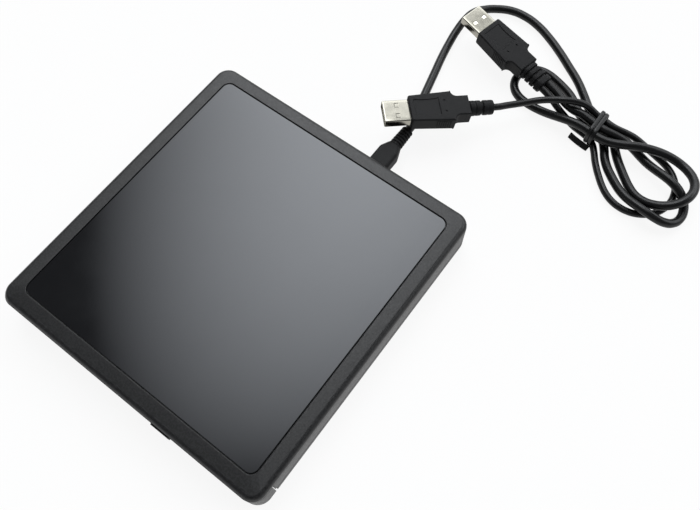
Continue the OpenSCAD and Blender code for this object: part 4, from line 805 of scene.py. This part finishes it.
class DRIVE_OT_plugs(Operator):
    """Make the three moulded plugs with their reliefs and shells"""

    bl_idname = "drive.plugs"
    bl_label = "Plugs"

    def execute(self, context):
        edge = context.scene.drive_sizes.plug_edge / MM
        self.add_large("data", DATA_PLUG, edge, FORK_W, FORK_RINGS)
        self.add_large("power", POWER_PLUG, edge, 0, RELIEF_RINGS)
        self.add_shell("data", DATA_PLUG, DATA_LEAF_TILT)
        self.add_shell("power", POWER_PLUG, 0)
        self.add_tongues()
        self.add_mini()
        return {"FINISHED"}

    def body_plan(self, bm):
        """The body seen from above, with hollow shoulders down to the neck, as one face."""
        side, end = PLUG_SIDE_END, PLUG_L + NECK_L
        front, half, neck = PLUG_FRONT_W / 2, PLUG_W / 2, NECK_W / 2
        outline = [(0, -front), (side, -half), (side, -neck), (end, -neck),
                   (end, neck), (side, neck), (side, half), (0, front)]
        verts = [bm.verts.new((x, y, -PLUG_T / 2)) for x, y in outline]
        bm.faces.new(verts)
        hollow = half - neck - SLIVER
        for index, radius in ((2, hollow), (5, hollow), (0, PLUG_FRONT_R), (7, PLUG_FRONT_R)):
            round_off(bm, [verts[index]], radius, steps=8, affect="VERTICES")
        return bm.faces[:][0]

    def level_faces(self, bm, z, up=1):
        """The flat faces at height z that look up or down."""
        return [f for f in bm.faces
                if f.normal.z * up > UPRIGHT and abs(f.calc_center_median().z - z) < LEVEL]

    def within(self, face, low, high):
        """Whether a face's middle lies between two corners."""
        spot = face.calc_center_median()
        return low[0] < spot.x < high[0] and low[1] < spot.y < high[1]

    def cut_patch(self, bm, z, low, high, up=1):
        """Cuts a rectangle out of the flat faces at height z that look up or down, and gives its face."""
        for co, no in (((low[0], 0, 0), (1, 0, 0)), ((high[0], 0, 0), (1, 0, 0)),
                       ((0, low[1], 0), (0, 1, 0)), ((0, high[1], 0), (0, 1, 0))):
            faces = self.level_faces(bm, z, up)
            edges = {e for f in faces for e in f.edges}
            verts = {v for f in faces for v in f.verts}
            bmesh.ops.bisect_plane(bm, geom=[*faces, *edges, *verts], dist=CUT, plane_co=co, plane_no=no)
        for face in self.level_faces(bm, z, up):
            if self.within(face, low, high):
                return face
        raise RuntimeError("no patch on the plug")

    def add_large(self, name, place, edge, spread, rings):
        """A large plug's body with its label recess, pits and grip ribs, and its relief."""
        bm = bmesh.new()
        face = self.body_plan(bm)
        raised = bmesh.ops.extrude_face_region(bm, geom=[face])["geom"]
        top = [g for g in raised if isinstance(g, bmesh.types.BMVert)]
        bmesh.ops.translate(bm, vec=(0, 0, PLUG_T), verts=top)
        bmesh.ops.recalc_face_normals(bm, faces=bm.faces[:])
        rims = [e for e in bm.edges if abs(e.verts[0].co.z - e.verts[1].co.z) < LEVEL]
        round_off(bm, rims, edge, steps=4)
        self.sink_label(bm)
        for side in (-PIT_Y, PIT_Y):
            pit = self.cut_patch(bm, PLUG_T / 2, (PIT_X[0], side - PIT_HALF), (PIT_X[1], side + PIT_HALF))
            bmesh.ops.inset_individual(bm, faces=[pit], thickness=PIT_RIM, depth=-PIT_DEPTH)
        for index in range(GRIPS):
            x = PLUG_L - GRIP_BACK + index * GRIP_PITCH
            y = (PLUG_FRONT_W + (PLUG_W - PLUG_FRONT_W) * x / PLUG_L) / 2
            for side in (-1, 1):
                box(bm, (x - GRIP_X, side * y - GRIP_Y, -GRIP_Z), (x + GRIP_X, side * y + GRIP_Y, GRIP_Z),
                    GRIP_EDGE)
        along = Matrix.Translation((PLUG_L + NECK_L, 0, 0)) @ ALONG_X
        loft(bm, self.relief_rows(spread, RELIEF_R, RELIEF_END_R, rings), place=along)
        bmesh.ops.transform(bm, matrix=place @ Matrix.Translation((SHELL_L, 0, 0)), verts=bm.verts[:])
        add_piece(f"{name}_plug_moulding", bm, "plug_vinyl", "cable", [f"{name}_plug_body"])

    def sink_label(self, bm):
        """A shallow recess in the top, whose long sides bow inwards."""
        label = self.cut_patch(bm, PLUG_T / 2, LABEL_LO, LABEL_HI)
        sides = [e for e in label.edges if abs(e.verts[0].co.y - e.verts[1].co.y) < LEVEL]
        bmesh.ops.subdivide_edges(bm, edges=sides, cuts=7)
        reach = LABEL_HI[0] - LABEL_LO[0]
        middle = (LABEL_HI[0] + LABEL_LO[0]) / 2
        patch = [f for f in self.level_faces(bm, PLUG_T / 2) if self.within(f, LABEL_LO, LABEL_HI)]
        for vert in {v for f in patch for v in f.verts}:
            share = 1 - (2 * (vert.co.x - middle) / reach) ** 2
            bow = -LABEL_BOW * share * math.copysign(1, vert.co.y)
            bmesh.ops.translate(bm, vec=(0, bow, 0), verts=[vert])
        bmesh.ops.inset_region(bm, faces=patch, thickness=LABEL_RIM, depth=-LABEL_DEPTH, use_even_offset=True)

    def add_shell(self, name, place, tilt):
        """The folded shell with its windows and the spring leaves in them."""
        rows = [(x, SHELL_W - cut, SHELL_H - cut, radius) for x, cut, radius in SHELL_ROWS]
        bm = bmesh.new()
        loft(bm, rows, steps=4, place=ALONG_X)
        bm.normal_update()
        for up in (1, -1):
            for side in (-WINDOW_Y, WINDOW_Y):
                low, high = (WINDOW_X[0], side - WINDOW_HALF), (WINDOW_X[1], side + WINDOW_HALF)
                outer = self.cut_patch(bm, up * SHELL_H / 2, low, high, up)
                inner = self.cut_patch(bm, up * (SHELL_H / 2 - SHELL_T), low, high, -up)
                rims = outer.edges[:] + inner.edges[:]
                bmesh.ops.delete(bm, geom=[outer, inner], context="FACES_ONLY")
                bmesh.ops.bridge_loops(bm, edges=rims)
                z = up * (SHELL_H / 2 - SHELL_T / 2 - LEAF_SINK)
                stand = Matrix.Translation((LEAF_X, side, z)) @ Matrix.Rotation(math.radians(tilt), 4, "X")
                box(bm, LEAF_LO, LEAF_HI, LEAF_EDGE, place=stand)
        bmesh.ops.recalc_face_normals(bm, faces=bm.faces[:])
        bmesh.ops.transform(bm, matrix=place, verts=bm.verts[:])
        add_piece(f"{name}_shell_plate", bm, "plug_steel", "cable", [f"{name}_plug_shell"])

    def add_tongues(self):
        """The tongues in the two shells and the four contacts on each."""
        tongues, contacts = bmesh.new(), bmesh.new()
        for place in (DATA_PLUG, POWER_PLUG):
            box(tongues, TONGUE_LO, TONGUE_HI, TONGUE_EDGE, place=place)
            for y in CONTACTS_Y:
                box(contacts, (CONTACT_X[0], y - CONTACT_HALF, CONTACT_Z[0]),
                    (CONTACT_X[1], y + CONTACT_HALF, CONTACT_Z[1]), CONTACT_EDGE, place=place)
        for name, bm, slot, nodes in (("plug_tongue_blocks", tongues, "nylon", ["plug_tongues"]),
                                      ("plug_contacts", contacts, "plug_steel", ())):
            add_piece(name, bm, slot, "cable", nodes)

    def relief_rows(self, spread, start, end, rings):
        """Sections of a ribbed relief from its rings."""
        rows = []
        for z, cut in rings:
            radius = start + (end - start) * max(0, z) / rings[-1][0]
            rows.append((z, spread + 2 * (radius - cut), 2 * (radius - cut), radius))
        return rows

    def add_mini(self):
        """The small plug's body and relief."""
        bm = bmesh.new()
        stand = Matrix.Translation(MINI_PLUG) @ ALONG_Y
        loft(bm, MINI_ROWS, place=stand)
        loft(bm, self.relief_rows(0, MINI_RELIEF_R, MINI_RELIEF_END_R, MINI_RINGS),
             place=stand @ Matrix.Translation((0, 0, MINI_L)))
        add_piece("mini_plug_moulding", bm, "plug_vinyl", "cable", ["mini_plug_body"])


class DRIVE_OT_tie(Operator):
    """Make the strap that is wound twice round the hank"""

    bl_idname = "drive.tie"
    bl_label = "Tie"

    def execute(self, context):
        wide, high = TIE_Y[1] - TIE_Y[0], TIE_Z[1] - TIE_Z[0]
        turn = TIE_W / 2
        rows = [(-turn, wide, high, TIE_R)]
        for index in (-1, 0):
            for share, thick in TIE_TURN:
                rows.append(((index + share) * turn, wide + 2 * thick, high + 2 * thick, TIE_R + thick))
        rows.append((turn, wide, high, TIE_R))
        middle = (0, sum(TIE_Y) / 2, sum(TIE_Z) / 2)
        across = Matrix.Translation(middle) @ ALONG_X
        bm = bmesh.new()
        loft(bm, rows, closed=True, place=across)
        # The turns lean back over the strands
        lean = Matrix(((1, -TIE_LEAN, 0, 0), (0, 1, 0, 0), (0, 0, 1, 0), (0, 0, 0, 1)))
        bmesh.ops.transform(bm, matrix=lean, verts=bm.verts[:])
        self.add_end(bm)
        bmesh.ops.transform(bm, matrix=TIE, verts=bm.verts[:])
        add_piece("hank_strap", bm, "cord_vinyl", "cable", ["cord_tie"])
        return {"FINISHED"}

    def add_end(self, bm):
        """The flat loose end, which leaves the near side of the strap and lies along the cords."""
        rings = []
        for x, y, z, tilt in TIE_END:
            face = ring(bm, *TIE_END_SIZE, steps=3)
            stand = Matrix.Translation((x, y, z)) @ Matrix.Rotation(math.radians(tilt), 4, "X")
            bmesh.ops.transform(bm, matrix=stand @ ALONG_X, verts=face.verts[:])
            rings.append(face)
        edges = [face.edges[:] for face in rings]
        bmesh.ops.delete(bm, geom=rings[1:-1], context="FACES_ONLY")
        made = []
        for lower, upper in zip(edges, edges[1:]):
            made += bmesh.ops.bridge_loops(bm, edges=lower + upper)["faces"]
        bmesh.ops.recalc_face_normals(bm, faces=made + [rings[0], rings[-1]])


class DRIVE_OT_cords(Operator):
    """Lay the two cords along their routes"""

    bl_idname = "drive.cords"
    bl_label = "Cords"

    def execute(self, context):
        sizes = context.scene.drive_sizes
        data = add_cord("data_cord", data_route(), sizes.data_cord,
                        ["data_cord_lead", "data_cord_hank", "data_cord_tail"])
        power = add_cord("power_cord", power_route(), sizes.power_cord,
                         ["power_cord_lead", "power_cord_loop", "power_cord_tail"])
        return {"FINISHED"}


class DRIVE_PT_panel(Panel):
    """Lists the drive's pieces in the sidebar"""

    bl_idname = "DRIVE_PT_panel"
    bl_label = "Disc drive"
    bl_space_type = "VIEW_3D"
    bl_region_type = "UI"
    bl_category = "Disc drive"

    def draw(self, context):
        layout = self.layout
        for group in (context.scene.drive_sizes, context.scene.drive_colours):
            for name in group.bl_rna.properties.keys():
                if name not in {"rna_type", "name"}:
                    layout.prop(group, name)
        for maker in OPERATORS:
            layout.operator(maker.bl_idname)


OPERATORS = (DRIVE_OT_finishes, DRIVE_OT_stage, DRIVE_OT_cover, DRIVE_OT_edges, DRIVE_OT_plugs, DRIVE_OT_tie,
             DRIVE_OT_cords)
CLASSES = (DriveSizes, DriveColours, *OPERATORS, DRIVE_PT_panel)


def register():
    """Adds the classes and the scene's properties."""
    for entry in CLASSES:
        bpy.utils.register_class(entry)
    bpy.types.Scene.drive_sizes = PointerProperty(type=DriveSizes)
    bpy.types.Scene.drive_colours = PointerProperty(type=DriveColours)


def unregister():
    """Takes them out again."""
    del bpy.types.Scene.drive_colours
    del bpy.types.Scene.drive_sizes
    for entry in reversed(CLASSES):
        bpy.utils.unregister_class(entry)


def main():
    """Dresses the drive."""
    register()
    for maker in OPERATORS:
        group, action = maker.bl_idname.split(".")
        getattr(getattr(bpy.ops, group), action)()


if __name__ == "__main__":
    main()
